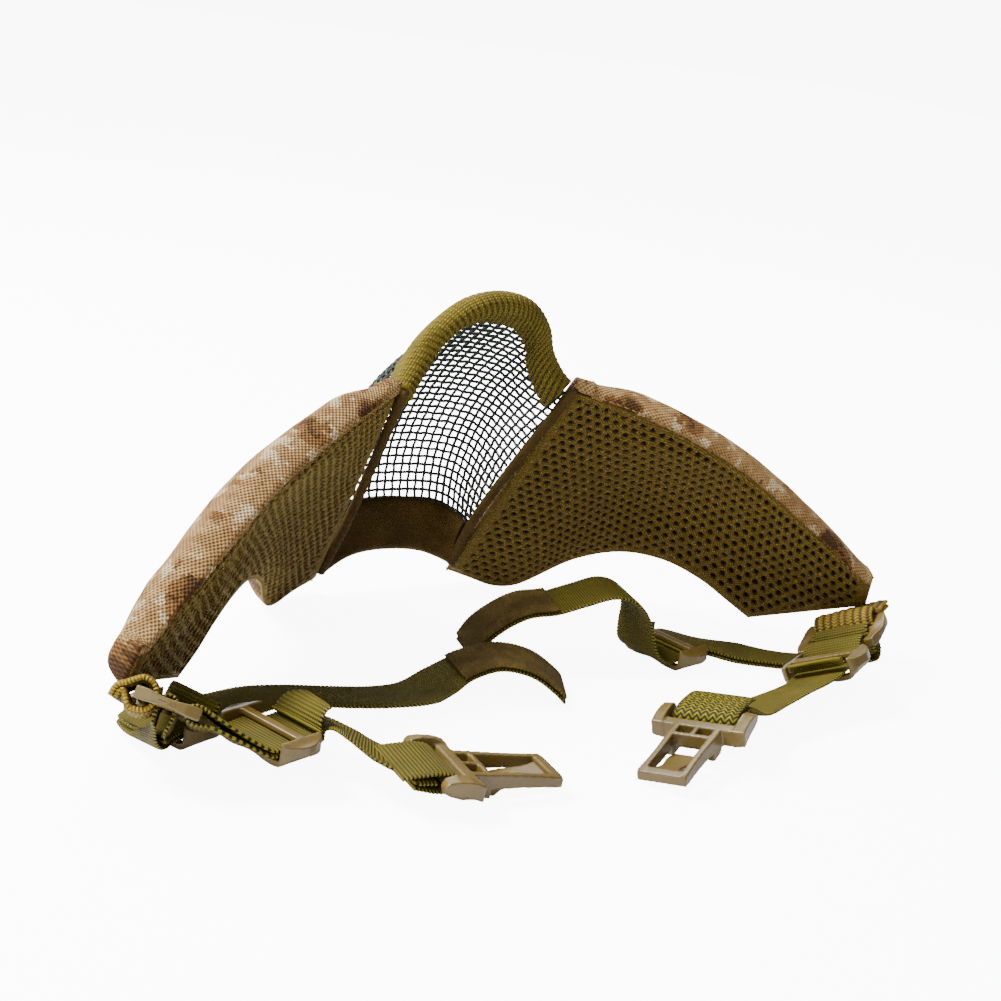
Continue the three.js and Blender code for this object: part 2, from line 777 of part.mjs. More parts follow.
function harnessPieces(name, layout) {
  const { ring, clip, clipAdjuster, elasticAdjuster, tapeWay } = layout;
  const railA = inFrame(ring, -RING_HALF_PITCH, 0, 0);
  const nearRailA = railA.clone().addScaledVector(tapeWay, -5);
  const tapeSides = [layout.tapeSide, ring.bars, ring.bars];
  const tape = doubledBand([layout.tapeStart, nearRailA, railA], tapeSides);
  const nearRailB = inFrame(ring, RING_HALF_PITCH + 4, 0, 0);
  const underRing = inFrame(ring, 0, 0, -layout.drop);

  const barSide = clip.bars.clone().multiplyScalar(Math.sign(clip.bars.dot(clipAdjuster.bars)));
  const atClip = [-9, -5, -BAR_RADIUS - GAP].map((x) => inFrame(clip, x, 0, 0));
  const clipSides = [...layout.clipSides, barSide, barSide, barSide];
  const clipRoute = strapRoute(clipAdjuster, [...layout.clipStrap, ...atClip], clipSides);
  const route = strapRoute(elasticAdjuster, layout.elasticStrap, layout.elasticSides);
  const elasticRise = [...layout.elasticRise, underRing];
  const patchLift = (WEB_THICKNESS + PATCH_THICKNESS) / 2 + 1.5 * GAP;
  const patch = ribbon(route, [layout.patchFrom, 0.985], patchLift, PATCH_THICKNESS, 20);
  return [
    piece(`${name}_end_loop`, tape, "tape"),
    piece(`${name}_end_ring`, placed(ringSolid(), ring), "plastic"),
    piece(`${name}_web_loop`, ringLoop(layout, clipAdjuster, 1, [nearRailB]), "webbing"),
    piece(`${name}_clip_adjuster`, placed(adjusterSolid(), clipAdjuster), "plastic"),
    piece(`${name}_clip_strap`, ribbon(clipRoute, [0, 1], 0, WEB_THICKNESS, 30), "webbing"),
    piece(`${name}_rail_clip`, placed(clipSolid(), clip), "plastic"),
    piece(`${name}_clip_tongue`, placed(tongueSolid(), clip), "plastic"),
    piece(`${name}_elastic_loop`, ringLoop(layout, elasticAdjuster, 0, elasticRise), "webbing"),
    piece(`${name}_elastic_adjuster`, placed(adjusterSolid(), elasticAdjuster), "plastic"),
    piece(`${name}_elastic_strap`, ribbon(route, [0, 1], 0, WEB_THICKNESS, 48), "webbing"),
    piece(`${name}_hook_patch`, patch, "patch"),
  ];
}

// ---------------------------------------------------------------- assembly
const mask = new THREE.Group();
const bindingShare = 1 - BINDING_GAP / BROW_HALF_WIDTH;
const chinShare = 1 - FOLD_GAP / CHIN_HALF_WIDTH;
const binding = edgeBand(BINDING_DEPTH, BINDING_HALF, BINDING_ROLL, 22, bindingShare, true);
const chinBand = edgeBand(CHIN_DEPTH, CHIN_HALF, 0, 18, chinShare, false);
mask.add(piece("steel_mesh_face", meshFace(), "steel"));
mask.add(piece("nose_binding", binding, "knit"));
mask.add(piece("chin_band", chinBand, "knit"));

const wingLength = 115;
const hemShare = HEM_LENGTH / wingLength;
const padStart = hemShare + GAP / wingLength;
for (const [name, side] of [["left", -1], ["right", 1]]) {
  const layers = {
    front_hem: [wingSolid(0, hemShare, 2, hemSection), "camo"],
    cheek_foam: [wingSolid(padStart, 1, 18, foamSection), "foam"],
    spacer_lining: [wingSolid(padStart, 1, 18, liningSection), "lining"],
    camo_cover: [wingSolid(padStart, 1, 18, coverSection), "camo"],
  };
  for (const [part, [geometry, finish]] of Object.entries(layers)) {
    mask.add(piece(`${name}_${part}`, forSide(geometry, side), finish));
  }
}
mask.rotation.x = LEAN;
mask.position.z = REST_LIFT;

const root = new THREE.Group();
root.add(mask);
for (const [name, layout] of Object.entries(HARNESS)) {
  root.add(...harnessPieces(name, layout));
}
root.position.set(REST_SHIFT_X, REST_SHIFT_Y, REST_SHIFT_Z);

export default root;
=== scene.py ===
"""Looks of a half-face field mask: woven steel face, padded camouflage cheek wings with
spacer-mesh lining, and on each side a webbing line with a rail clip and an elastic line.
Shapes are worked out in millimetres, in the frame of the standing mask, and become metres
when a mesh is made."""
import math
import bmesh
import bpy
import numpy as np
from mathutils import Matrix, Vector


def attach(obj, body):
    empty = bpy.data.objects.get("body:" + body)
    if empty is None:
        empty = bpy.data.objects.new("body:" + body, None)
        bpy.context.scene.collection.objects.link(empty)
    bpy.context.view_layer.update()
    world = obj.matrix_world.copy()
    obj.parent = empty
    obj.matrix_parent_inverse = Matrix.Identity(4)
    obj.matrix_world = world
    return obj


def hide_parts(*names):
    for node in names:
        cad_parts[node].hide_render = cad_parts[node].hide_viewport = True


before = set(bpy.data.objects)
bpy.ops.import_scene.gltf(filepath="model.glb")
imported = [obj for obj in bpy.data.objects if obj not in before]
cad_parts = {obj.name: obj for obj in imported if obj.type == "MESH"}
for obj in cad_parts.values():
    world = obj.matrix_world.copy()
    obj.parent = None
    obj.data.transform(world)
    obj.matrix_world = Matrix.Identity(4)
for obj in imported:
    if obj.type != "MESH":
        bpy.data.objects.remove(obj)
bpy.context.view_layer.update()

MM = 0.001
UV_PER_MM = 0.01  # every UV map holds millimetres times this

# ---------------------------------------------------------------- driving sizes (mm)
LEAN = math.radians(20)  # how far the standing mask leans back
REST_LIFT = 4.74  # puts the jaw corners on the ground
SHIFT = np.array([1.41, 35.88, 0.07])  # from this frame to the part's own
GAP = 0.3  # between layers that touch
FOLD_GAP = 1.6
BINDING_DEPTH = 10
BINDING_ROLL = 2.6
BINDING_HALF = 3.6
CHIN_DEPTH = 17
CHIN_HALF = 2.4
PAD_THICKNESS = 12
WEB_WIDTH = 20
WEB_THICKNESS = 1.2
BAR_RADIUS = 1.4
RING_HALF_PITCH = 7.4
PATCH_THICKNESS = 1.1
PATCH_END = 0.985  # share of the strap's length
CLIP_STRAP_END = 0.955
TAPE_THICKNESS = 2.3
TAPE_WIDTH = 21
TAPE_RIBS = 8
TAPE_WRAP = 4.1  # the thick tape turns wider than the rail
TAIL_BEGIN = 7.4  # from the adjuster's middle
LEFT_CLIP_TAIL_SHIFT = 2.2  # the left clip's tail begins that much further out
TAIL_LENGTH = 9.0
TAIL_RISE = 3.4
CORD_WIDTHS = 6  # the shortest strap that counts as a cord
EDGE_TURN = 1.15  # pitch of the yarn that turns round a webbing's edges
WEB_RIB = (1.1, 0.07)  # pitch and height of the cross ribs
ELASTIC_RIB = (0.8, 0.05)
TAPE_RIB = (0.9, 0.03)
HOOK_RIB = (1.6, 0.04)
BAND_STEP = 0.3
VOXEL = 0.34  # of the softened plastic
TUBE_SIDES = 6

WIRE_PITCH = 3.0
WIRE_RADIUS = 0.5
FACE_HALF_WIDTH = 33.0
WIRE_END_GAP = 1.3
BINDING_END_GAP = 2.9
SEAM_RADIUS = 1.6
SEAM_INSET = 1.3  # from the hinge line towards the face
SEAM_RISE = 3.0  # past the panel's top corner
WIRE_CRIMP = 0.5  # share of the radius that a wire waves
WIRE_MIDDLE_HEIGHT = 40  # where the wires across are counted from
SHORTEST_WIRE = 6  # samples
HOLE_PITCH = 3.5  # spacer mesh, along a row of holes
HOLE_ROW = 3.0
HOLE_RADIUS = 1.12
HOLE_DEPTH = 1.15
HOLE_HEIGHT = 0.85  # an oval hole's height over its width
HEM_SHARE = 0.05  # share of the wing's length under the folded front hem
HEM_RISE = 0.55
TOP_WRAP = 3.0  # from the wing's top edge to the lining's seam
FOOT_LIFT = 0.5
WING_BOW = 5
LINING_THICKNESS = 0.7
COVER_THICKNESS = 0.6
LINING_GRID = (270, 150)
COVER_GRID = (240, 170)
TOP_SEAM_COLUMN = 3
END_ANGLES = (1.57, 1.4, 1.2, 0.95, 0.65, 0.35)  # of the rows that close a wing's end
END_REACH = 1.2
PAD_PRESSURE = 3.0
PAD_CAP = 2.2  # how far a point of the pressed pad may move
PAD_FRAMES = 18

CHIN_ROLL = 1.2
BAND_SLOT = 1.0  # from the panel to the band's inner lips
RIB_PITCH = 2.2
RIB_SLANT = 7.0
RIB_ROW = 2.3
RIB_HEIGHT = 0.6
STITCH_PITCH = 2.6
STITCH_LENGTH = 1.9
STITCH_RADIUS = 0.22
FLOOR_REACH = 3.0  # metres

# ---------------------------------------------------------------- camera and light
CAMERA_AT = np.array([-309.6, -469.1, 215.3]) + SHIFT
CAMERA_AZIMUTH = math.radians(-35.7)
CAMERA_ELEVATION = math.radians(17.0)
CAMERA_ROLL = math.radians(8.9)
CAMERA_LENS = 64.74


def make_camera():
    data = bpy.data.cameras.new("camera")
    data.lens = CAMERA_LENS
    data.sensor_width = 36
    data.clip_start = 0.01
    data.clip_end = 10
    camera = bpy.data.objects.new("camera", data)
    bpy.context.scene.collection.objects.link(camera)
    turn = Matrix.Rotation(CAMERA_AZIMUTH, 4, "Z")
    turn = turn @ Matrix.Rotation(math.pi / 2 - CAMERA_ELEVATION, 4, "X")
    turn = turn @ Matrix.Rotation(CAMERA_ROLL, 4, "Z")
    camera.matrix_world = Matrix.Translation(CAMERA_AT * MM) @ turn
    bpy.context.scene.camera = camera


ROOM_LIGHT = 0.4
FLOOR_GLOW = 0.12
SEEN_WHITE = 9.0  # brightness of the surroundings to the camera alone
LIGHT_AIM = (0, 0, 0.03)
LIGHTS = {  # place and size in metres, and power in watts
    "key": ((-0.5, 0.3, 0.7), 0.3, 25),
    "fill": ((-0.6, -0.5, 0.5), 0.6, 3.2),
    "back": ((0.3, 0.7, 0.7), 0.5, 8),
}


def make_lights():
    for name, (place, size, power) in LIGHTS.items():
        data = bpy.data.lights.new(name, "AREA")
        data.shape = "DISK"
        data.size = size
        data.energy = power
        lamp = bpy.data.objects.new(name, data)
        bpy.context.scene.collection.objects.link(lamp)
        lamp.location = place
        lamp.rotation_mode = "QUATERNION"
        aim = Vector(np.subtract(LIGHT_AIM, place))
        lamp.rotation_quaternion = Vector((0, 0, -1)).rotation_difference(aim)
    world = bpy.data.worlds.new("studio")
    world.use_nodes = True
    back = world.node_tree.nodes["Background"]
    back.inputs["Color"].default_value = (1, 1, 1, 1)
    seen = world.node_tree.nodes.new("ShaderNodeLightPath")
    strength = world.node_tree.nodes.new("ShaderNodeMapRange")
    world.node_tree.links.new(seen.outputs["Is Camera Ray"], strength.inputs["Value"])
    strength.inputs["To Min"].default_value = ROOM_LIGHT
    strength.inputs["To Max"].default_value = SEEN_WHITE
    world.node_tree.links.new(strength.outputs["Result"], back.inputs["Strength"])
    bpy.context.scene.world = world


# ---------------------------------------------------------------- shader helper
COLOUR_DEPTH = 0.62
COLOUR_STRENGTH = 1.22
CLOTH_GLOSS = 0.2
GREY_WEIGHTS = (0.21, 0.72, 0.07)
DARKEST = 0.0015


def srgb(red, green, blue):
    """A colour as seen, 0 to 255, in the linear values that shaders take, deepened for light."""
    c = np.array([red, green, blue]) / 255
    linear = np.where(c <= 0.04045, c / 12.92, ((c + 0.055) / 1.055) ** 2.4)
    grey = linear @ GREY_WEIGHTS
    deep = COLOUR_DEPTH * np.maximum(grey + COLOUR_STRENGTH * (linear - grey), DARKEST)
    return (*deep.tolist(), 1)


class Shader:
    """A material whose node network is written as calls."""

    def __init__(self, name, roughness, **sockets):
        self.material = bpy.data.materials.new(name)
        self.material.use_nodes = True
        self.tree = self.material.node_tree
        self.surface = self.tree.nodes["Principled BSDF"]
        self.surface.inputs["Roughness"].default_value = roughness
        for socket, value in sockets.items():
            self.surface.inputs[socket.replace("_", " ")].default_value = value

    def put(self, socket, value):
        if isinstance(value, bpy.types.NodeSocket):
            self.tree.links.new(value, socket)
        else:
            socket.default_value = value

    def node(self, kind, *values, **settings):
        made = self.tree.nodes.new(kind)
        for key, value in settings.items():
            setattr(made, key, value)
        for socket, value in zip(made.inputs, values):
            if value is not None:
                self.put(socket, value)
        return made

    def math(self, operation, *values):
        return self.node("ShaderNodeMath", *values, operation=operation).outputs[0]

    def times(self, first, second):
        return self.math("MULTIPLY", first, second)

    def plus(self, first, second):
        return self.math("ADD", first, second)

    def value(self, name):
        return self.node("ShaderNodeAttribute", attribute_name=name).outputs["Fac"]

    def millimetres(self):
        """The two UV coordinates in millimetres."""
        uv = self.node("ShaderNodeUVMap", uv_map="UVMap").outputs[0]
        parts = self.node("ShaderNodeSeparateXYZ", uv).outputs
        return [self.times(parts[k], 1 / UV_PER_MM) for k in (0, 1)]

    def place(self):
        return self.node("ShaderNodeTexCoord").outputs["Object"]

    def noise(self, vector, scale, detail=2.0, roughness=0.5):
        made = self.node("ShaderNodeTexNoise")
        self.put(made.inputs["Vector"], vector)
        self.put(made.inputs["Scale"], scale)
        self.put(made.inputs["Detail"], detail)
        self.put(made.inputs["Roughness"], roughness)
        return made.outputs["Fac"]

    def wave(self, coordinate, pitch):
        """A cosine of that pitch, from 0 to 1."""
        angle = self.math("MULTIPLY", coordinate, 2 * math.pi / pitch)
        return self.math("MULTIPLY_ADD", self.math("COSINE", angle), 0.5, 0.5)

    def mix(self, share, first, second):
        made = self.node("ShaderNodeMix", data_type="RGBA")
        self.put(made.inputs["Factor"], share)
        self.put(made.inputs[6], first)
        self.put(made.inputs[7], second)
        return made.outputs[2]

    def step(self, value, low, high):
        made = self.node("ShaderNodeMapRange", interpolation_type="SMOOTHSTEP")
        for key, number in (("Value", value), ("From Min", low), ("From Max", high)):
            self.put(made.inputs[key], number)
        return made.outputs[0]

    def vector(self, x, y, z=0.0):
        return self.node("ShaderNodeCombineXYZ", x, y, z).outputs[0]

    def paint(self, colour):
        self.put(self.surface.inputs["Base Color"], colour)

    def relief(self, height, distance):
        """Bump whose full height is that many millimetres."""
        made = self.node("ShaderNodeBump")
        made.inputs["Strength"].default_value = 1
        made.inputs["Distance"].default_value = distance * MM
        self.put(made.inputs["Height"], height)
        self.put(self.surface.inputs["Normal"], made.outputs[0])


# ---------------------------------------------------------------- materials
def cloth_shader(name, roughness):
    """A fabric's shader, with its millimetres along and across."""
    m = Shader(name, roughness, Specular_IOR_Level=CLOTH_GLOSS)
    return m, *m.millimetres()


def steel_material():
    m = Shader("powder_coated_steel", 0.4, Metallic=0.35)
    grain = m.noise(m.place(), 900, 3)
    m.paint(m.mix(grain, srgb(22, 28, 24), srgb(62, 70, 62)))
    m.put(m.surface.inputs["Roughness"], m.math("MULTIPLY_ADD", grain, 0.25, 0.3))
    m.relief(m.noise(m.place(), 2500, 2), 0.05)
    return m.material


def knit_material():
    m, along, across = cloth_shader("padded_knit", 0.85)
    loops = m.times(m.wave(along, 1.1), m.wave(across, 0.9))
    pit = m.value("pit")
    yarn = m.mix(loops, srgb(112, 98, 48), srgb(176, 160, 88))
    uneven = m.noise(m.place(), 160, 3)
    yarn = m.mix(m.step(uneven, 0.35, 0.75), yarn, srgb(116, 102, 50))
    # painted shade: the pits between the ribs are darkened
    m.paint(m.mix(pit, yarn, srgb(38, 27, 7)))
    fibres = m.noise(m.place(), 3000, 2)
    m.relief(m.plus(loops, m.times(fibres, 0.6)), 0.35)
    return m.material


def chin_material():
    m, along, across = cloth_shader("smooth_knit", 0.85)
    twill = m.wave(m.plus(along, across), 0.8)
    shade = m.noise(m.place(), 120, 3)
    base = m.mix(m.step(shade, 0.3, 0.7), srgb(80, 62, 30), srgb(98, 78, 42))
    m.paint(m.mix(m.times(twill, 0.45), base, srgb(58, 44, 16)))
    m.relief(twill, 0.12)
    return m.material


def camo_material():
    m, along, across = cloth_shader("camouflage_weave", 0.8)
    cell = 1.15

    def blocks(offset, size, detail):
        corner = [m.math("FLOOR", m.math("DIVIDE", k, cell)) for k in (along, across)]
        return m.noise(m.vector(*corner, offset), cell / size, detail, 0.62)

    large = blocks(3.1, 13.0, 3.0)
    small = blocks(21.7, 6.0, 2.0)
    pale = blocks(47.3, 9.0, 2.5)
    sand = m.mix(m.step(small, 0.35, 0.62), srgb(196, 164, 122), srgb(166, 132, 92))
    colour = m.mix(m.step(pale, 0.55, 0.58), sand, srgb(226, 206, 172))
    colour = m.mix(m.step(large, 0.53, 0.545), colour, srgb(134, 98, 60))
    colour = m.mix(m.step(large, 0.595, 0.605), colour, srgb(88, 60, 32))
    warp = m.math("SINE", m.times(along, 2 * math.pi / 1.7))
    weft = m.math("SINE", m.times(across, 2 * math.pi / 1.3))
    crossing = m.times(warp, weft)
    threads = m.math("MULTIPLY_ADD", crossing, 0.5, 0.5)
    uneven = m.noise(m.place(), 700, 2)
    # painted shade in the gaps between the threads, with random unevenness, multiplied into the
    # camouflage colour
    gaps = m.step(m.math("MULTIPLY_ADD", uneven, 0.5, m.times(threads, 0.75)), 0.25, 0.75)
    dark = m.node("ShaderNodeMix", data_type="RGBA", blend_type="MULTIPLY")
    m.put(dark.inputs["Factor"], 1.0)
    m.put(dark.inputs[6], colour)
    m.put(dark.inputs[7], m.mix(gaps, (0.28, 0.22, 0.15, 1), (1, 0.98, 0.95, 1)))
    m.paint(dark.outputs[2])
    m.relief(threads, 0.45)
    return m.material


def spacer_material():
    m, along, across = cloth_shader("spacer_mesh", 0.75)
    pit = m.value("pit")
    slope = m.plus(along, across)
    fall = m.math("SUBTRACT", along, across)
    net = m.math("MAXIMUM", m.wave(slope, 0.85), m.wave(fall, 0.85))
    gleam = m.step(m.noise(m.place(), 2600, 1), 0.6, 0.72)
    yarn = m.mix(m.step(net, 0.45, 0.95), srgb(66, 51, 20), srgb(140, 116, 62))
    yarn = m.mix(m.times(gleam, 0.85), yarn, srgb(226, 204, 140))
    # painted sheen: the lining is lightened where its surface turns away from the camera
    facing = m.node("ShaderNodeLayerWeight").outputs["Facing"]
    yarn = m.mix(m.times(m.step(facing, 0.45, 0.95), 0.75), yarn, srgb(184, 160, 100))
    # painted shade: the holes are darkened to near black
    m.paint(m.mix(pit, yarn, srgb(28, 19, 6)))
    m.relief(m.plus(net, m.times(gleam, 0.5)), 0.3)
    return m.material


def tape_material():
    m, along, across = cloth_shader("ribbed_tape", 0.75)
    plait = m.wave(m.plus(along, m.times(m.wave(across, 2.3), 0.5)), 0.9)
    pit = m.value("pit")
    yarn = m.mix(plait, srgb(126, 102, 44), srgb(190, 164, 92))
    # painted shade in the grooves between the lengthwise ribs
    m.paint(m.mix(pit, yarn, srgb(62, 42, 12)))
    m.relief(plait, 0.2)
    return m.material


def webbing_material(name, pitch, ground, thread, shadow):
    """Woven webbing: cross ribs on its faces, and yellow turns of yarn on black at its edges."""
    m, along, across = cloth_shader(name, 0.7)
    rib = m.wave(along, pitch)
    ends = m.wave(across, 0.9)
    edge = m.value("edge")
    face = m.mix(m.times(ends, 0.55), ground, thread)
    face = m.mix(m.times(m.math("SUBTRACT", 1.0, rib), 0.6), face, shadow)
    shade = m.step(m.noise(m.place(), 90, 3), 0.3, 0.75)
    face = m.mix(m.times(shade, 0.35), face, shadow)
    turn = m.step(m.wave(along, EDGE_TURN), 0.35, 0.6)
    border = m.mix(turn, srgb(28, 25, 8), srgb(136, 124, 60))
    m.paint(m.mix(edge, face, border))
    m.relief(m.plus(rib, m.times(ends, 0.5)), 0.16)
    return m.material


def chevron_material():
    """Coarse webbing woven in chevrons."""
    m, along, across = cloth_shader("chevron_webbing", 0.7)
    fold = m.math("PINGPONG", across, 1.25)
    loop = m.wave(m.math("SUBTRACT", along, fold), 1.5)
    between = m.wave(across, 2.5)
    light = m.times(m.step(loop, 0.2, 0.8), m.math("MULTIPLY_ADD", between, 0.5, 0.5))
    edge = m.times(m.value("edge"), 0.6)
    colour = m.mix(light, srgb(44, 38, 10), srgb(160, 148, 62))
    m.paint(m.mix(edge, colour, srgb(60, 52, 18)))
    m.relief(light, 0.35)
    return m.material


def hook_material():
    m = Shader("hook_tape", 0.9, Specular_IOR_Level=CLOTH_GLOSS)
    pile = m.noise(m.place(), 2200, 3)
    worn = m.noise(m.place(), 130, 3)
    base = m.mix(m.step(worn, 0.35, 0.7), srgb(88, 72, 38), srgb(112, 94, 54))
    m.paint(m.mix(m.step(pile, 0.45, 0.7), base, srgb(66, 52, 24)))
    m.relief(pile, 0.4)
    return m.material


def plastic_material():
    m = Shader("tan_acetal", 0.36, IOR=1.48)
    flow = m.noise(m.place(), 55, 2)
    m.paint(m.mix(m.step(flow, 0.3, 0.7), srgb(104, 86, 48), srgb(122, 104, 64)))
    grain = m.noise(m.place(), 1400, 2)
    m.put(m.surface.inputs["Roughness"], m.math("MULTIPLY_ADD", grain, 0.18, 0.27))
    m.relief(grain, 0.03)
    return m.material


def thread_material():
    m = Shader("sewing_thread", 0.7)
    m.paint(m.mix(m.noise(m.place(), 1500, 1), srgb(112, 88, 40), srgb(176, 148, 92)))
    return m.material


def floor_material():
    m = Shader("studio_floor", 0.9, Emission_Color=(1, 1, 1, 1))
    seen = m.node("ShaderNodeLightPath").outputs["Is Camera Ray"]
    m.put(m.surface.inputs["Emission Strength"], m.math("MULTIPLY_ADD", seen, SEEN_WHITE, FLOOR_GLOW))
    m.paint(m.mix(m.noise(m.place(), 3, 1), (0.87, 0.87, 0.87, 1), (0.9, 0.9, 0.9, 1)))
    return m.material


OLIVE = {
    "ground": srgb(98, 88, 18),
    "thread": srgb(138, 126, 42),
    "shadow": srgb(50, 44, 6),
}
FINISH = {
    "steel": steel_material(),
    "knit": knit_material(),
    "chin": chin_material(),
    "camo": camo_material(),
    "spacer": spacer_material(),
    "tape": tape_material(),
    "webbing": webbing_material("webbing", WEB_RIB[0], **OLIVE),
    "elastic": webbing_material("elastic", ELASTIC_RIB[0], **OLIVE),
    "chevron": chevron_material(),
    "hook": hook_material(),
    "plastic": plastic_material(),
    "thread": thread_material(),
}


# ---------------------------------------------------------------- mesh helpers
def unit(v):
    v = np.asarray(v, float)
    return v / np.maximum(np.linalg.norm(v, axis=-1, keepdims=True), 1e-12)


def smooth_step(x, low, high):
    t = np.clip((np.asarray(x, float) - low) / (high - low), 0, 1)
    return t * t * (3 - 2 * t)


def run_of(line, axis=0):
    """The length along a line of points to each of them."""
    steps = np.linalg.norm(np.diff(line, axis=axis), axis=-1)
    first = np.zeros_like(np.take(steps, [0], axis))
    return np.concatenate([first, np.cumsum(steps, axis=axis)], axis=axis)


def new_object(name, mesh, finish):
    obj = bpy.data.objects.new(name, mesh)
    bpy.context.scene.collection.objects.link(obj)
    mesh.materials.clear()
    mesh.materials.append(FINISH[finish])
    mesh.polygons.foreach_set("use_smooth", np.ones(len(mesh.polygons), bool))
    return obj


def mesh_from(name, points, faces):
    """A mesh in metres from points in millimetres of the unshifted frame."""
    mesh = bpy.data.meshes.new(name)
    mesh.from_pydata((np.asarray(points, float) + SHIFT) * MM, [], faces)
    mesh.update()
    return mesh


def grid_faces(n, m, columns, capped, start=0):
    """Quads over a grid of n rows of m points, and the polygons that cap its end rows."""
    i, j = np.meshgrid(np.arange(n - 1), np.arange(columns), indexing="ij")
    k = (j + 1) % m
    quads = np.stack([i * m + j, i * m + k, (i + 1) * m + k, (i + 1) * m + j], -1)
    faces = (quads.reshape(-1, 4) + start).tolist()
    if capped:
        faces.append(list(range(start, start + m))[::-1])
        faces.append(list(range(start + (n - 1) * m, start + n * m)))
    return faces


def grid_object(name, points, finish, uv=None, closed=False, capped=False, **values):
    """A quad mesh on an n by m grid of points; closed joins its last column to its first."""
    n, m = points.shape[:2]
    faces = grid_faces(n, m, m if closed else m - 1, capped)
    mesh = mesh_from(name, points.reshape(-1, 3), faces)
    if uv is not None:
        layer = mesh.uv_layers.new(name="UVMap")
        corners = np.stack([uv[:-1, :-1], uv[:-1, 1:], uv[1:, 1:], uv[1:, :-1]], 2)
        flat = np.zeros((len(mesh.loops), 2))
        flat[: corners.size // 2] = corners.reshape(-1, 2) * UV_PER_MM
        layer.data.foreach_set("uv", flat.ravel())
    for key, numbers in values.items():
        attribute = mesh.attributes.new(key, "FLOAT", "POINT")
        attribute.data.foreach_set("value", np.asarray(numbers, float).ravel())
    return new_object(name, mesh, finish)


def applied(obj):
    """Makes the modifiers' result the object's own mesh."""
    depsgraph = bpy.context.evaluated_depsgraph_get()
    mesh = bpy.data.meshes.new_from_object(obj.evaluated_get(depsgraph))
    obj.modifiers.clear()
    obj.data = mesh
    mesh.polygons.foreach_set("use_smooth", np.ones(len(mesh.polygons), bool))
    return obj


def outward(obj):
    """Turns the faces so that they point out."""
    work = bmesh.new()
    work.from_mesh(obj.data)
    bmesh.ops.recalc_face_normals(work, faces=work.faces)
    work.to_mesh(obj.data)
    work.free()
    return obj


def settle(obj, body, slot, *nodes):
    """Rides on a body and stands for CAD nodes. The slot is not used."""
    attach(obj, body)
    if nodes:
        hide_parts(*nodes)
    return obj


class Curve:
    """A centripetal Catmull-Rom curve."""

    def __init__(self, points):
        self.points = np.asarray(points, float)
        self.shares = np.linspace(0, 1, 401)
        self.run = run_of(self.at(self.shares))

    def at(self, share):
        p = self.points
        whole = np.vstack([2 * p[0] - p[1], p, 2 * p[-1] - p[-2]])
        reach = np.clip(np.asarray(share, float), 0, 1) * (len(p) - 1)
        k = np.minimum(reach.astype(int), len(p) - 2)
        w = (reach - k)[..., None]
        a, b, c, d = whole[k], whole[k + 1], whole[k + 2], whole[k + 3]

        def knot(p0, p1):
            return np.maximum(np.sum((p0 - p1) ** 2, -1, keepdims=True) ** 0.25, 1e-4)

        ab, bc, cd = knot(a, b), knot(b, c), knot(c, d)
        start = ((b - a) / ab - (c - a) / (ab + bc) + (c - b) / bc) * bc
        end = ((c - b) / bc - (d - b) / (bc + cd) + (d - c) / cd) * bc
        square = -3 * b + 3 * c - 2 * start - end
        return b + start * w + square * w**2 + (2 * b - 2 * c + start + end) * w**3

    def along(self, share):
        """The point at a share of the length."""
        reach = np.asarray(share, float) * self.run[-1]
        return self.at(np.interp(reach, self.run, self.shares))


def placed(reach, run, values):
    """Values on a line at lengths along it."""
    return np.stack([np.interp(reach, run, column) for column in np.asarray(values).T], -1)


def tube_rings(points, normals, radius, sides):
    """Rings of a round tube on a line of points, with a normal at each."""
    tangent = unit(np.gradient(points, axis=0))
    across = unit(np.cross(tangent, normals))
    up = np.cross(across, tangent)
    angle = np.linspace(0, 2 * math.pi, sides, endpoint=False)
    ring = across[:, None] * np.cos(angle)[None, :, None]
    ring = ring + up[:, None] * np.sin(angle)[None, :, None]
    return points[:, None] + radius * ring


def joined_tubes(name, tubes, finish):
    """One mesh of many capped tubes."""
    points, faces, start = [], [], 0
    for rings in tubes:
        n, m = rings.shape[:2]
        faces += grid_faces(n, m, m, True, start)
        points.append(rings.reshape(-1, 3))
        start += n * m
    return outward(new_object(name, mesh_from(name, np.vstack(points), faces), finish))


def stitch_row(line, normals):
    """Rings of the stitches along a line, each a short rounded thread."""
    run = run_of(line)
    rows = []
    for start in np.arange(STITCH_PITCH / 2, run[-1] - STITCH_LENGTH, STITCH_PITCH):
        share = np.linspace(0, 1, 7)
        points = placed(start + STITCH_LENGTH * share, run, line)
        facing = placed(start + STITCH_LENGTH * share, run, normals)
        arch = np.sin(math.pi * share)[:, None]
        taper = 0.35 + 0.65 * np.sqrt(arch)
        points = points + unit(facing) * (0.28 * arch - 0.08)
        centre = points[:, None]
        rings = tube_rings(points, unit(facing), STITCH_RADIUS, TUBE_SIDES)
        rows.append(centre + (rings - centre) * taper[:, None])
    return rows


# ---------------------------------------------------------------- the mask's surfaces
def leaned(p):
    """From the worn frame to the frame of the standing mask."""
    p = np.asarray(p, float)
    c, s = math.cos(LEAN), math.sin(LEAN)
    y = p[..., 1] * c - p[..., 2] * s
    z = p[..., 1] * s + p[..., 2] * c + REST_LIFT
    return np.stack([p[..., 0], y, z], -1)


def leaned_way(v):
    return leaned(v) - [0, 0, REST_LIFT]


FOLD_LINE = Curve([(27, 21.5, -3.5), (26.5, 17.8, 19), (29.3, 11, 52), (32.5, 4.5, 80.5)])
HALF_ARCH = [
    (0, 15.5, 108.5), (11, 15, 106), (18.5, 14, 99), (23, 13, 90), (27.5, 9.5, 84), (32.5, 4.5, 80.5),
]
NOSE_ARCH = Curve([(-x, y, z) for x, y, z in HALF_ARCH[:0:-1]] + HALF_ARCH)
CHIN_LINE = Curve([
    (-27, 21.5, -3.5), (-14, 25.5, 0.5), (0, 26.5, 1.5), (14, 25.5, 0.5), (27, 21.5, -3.5),
])


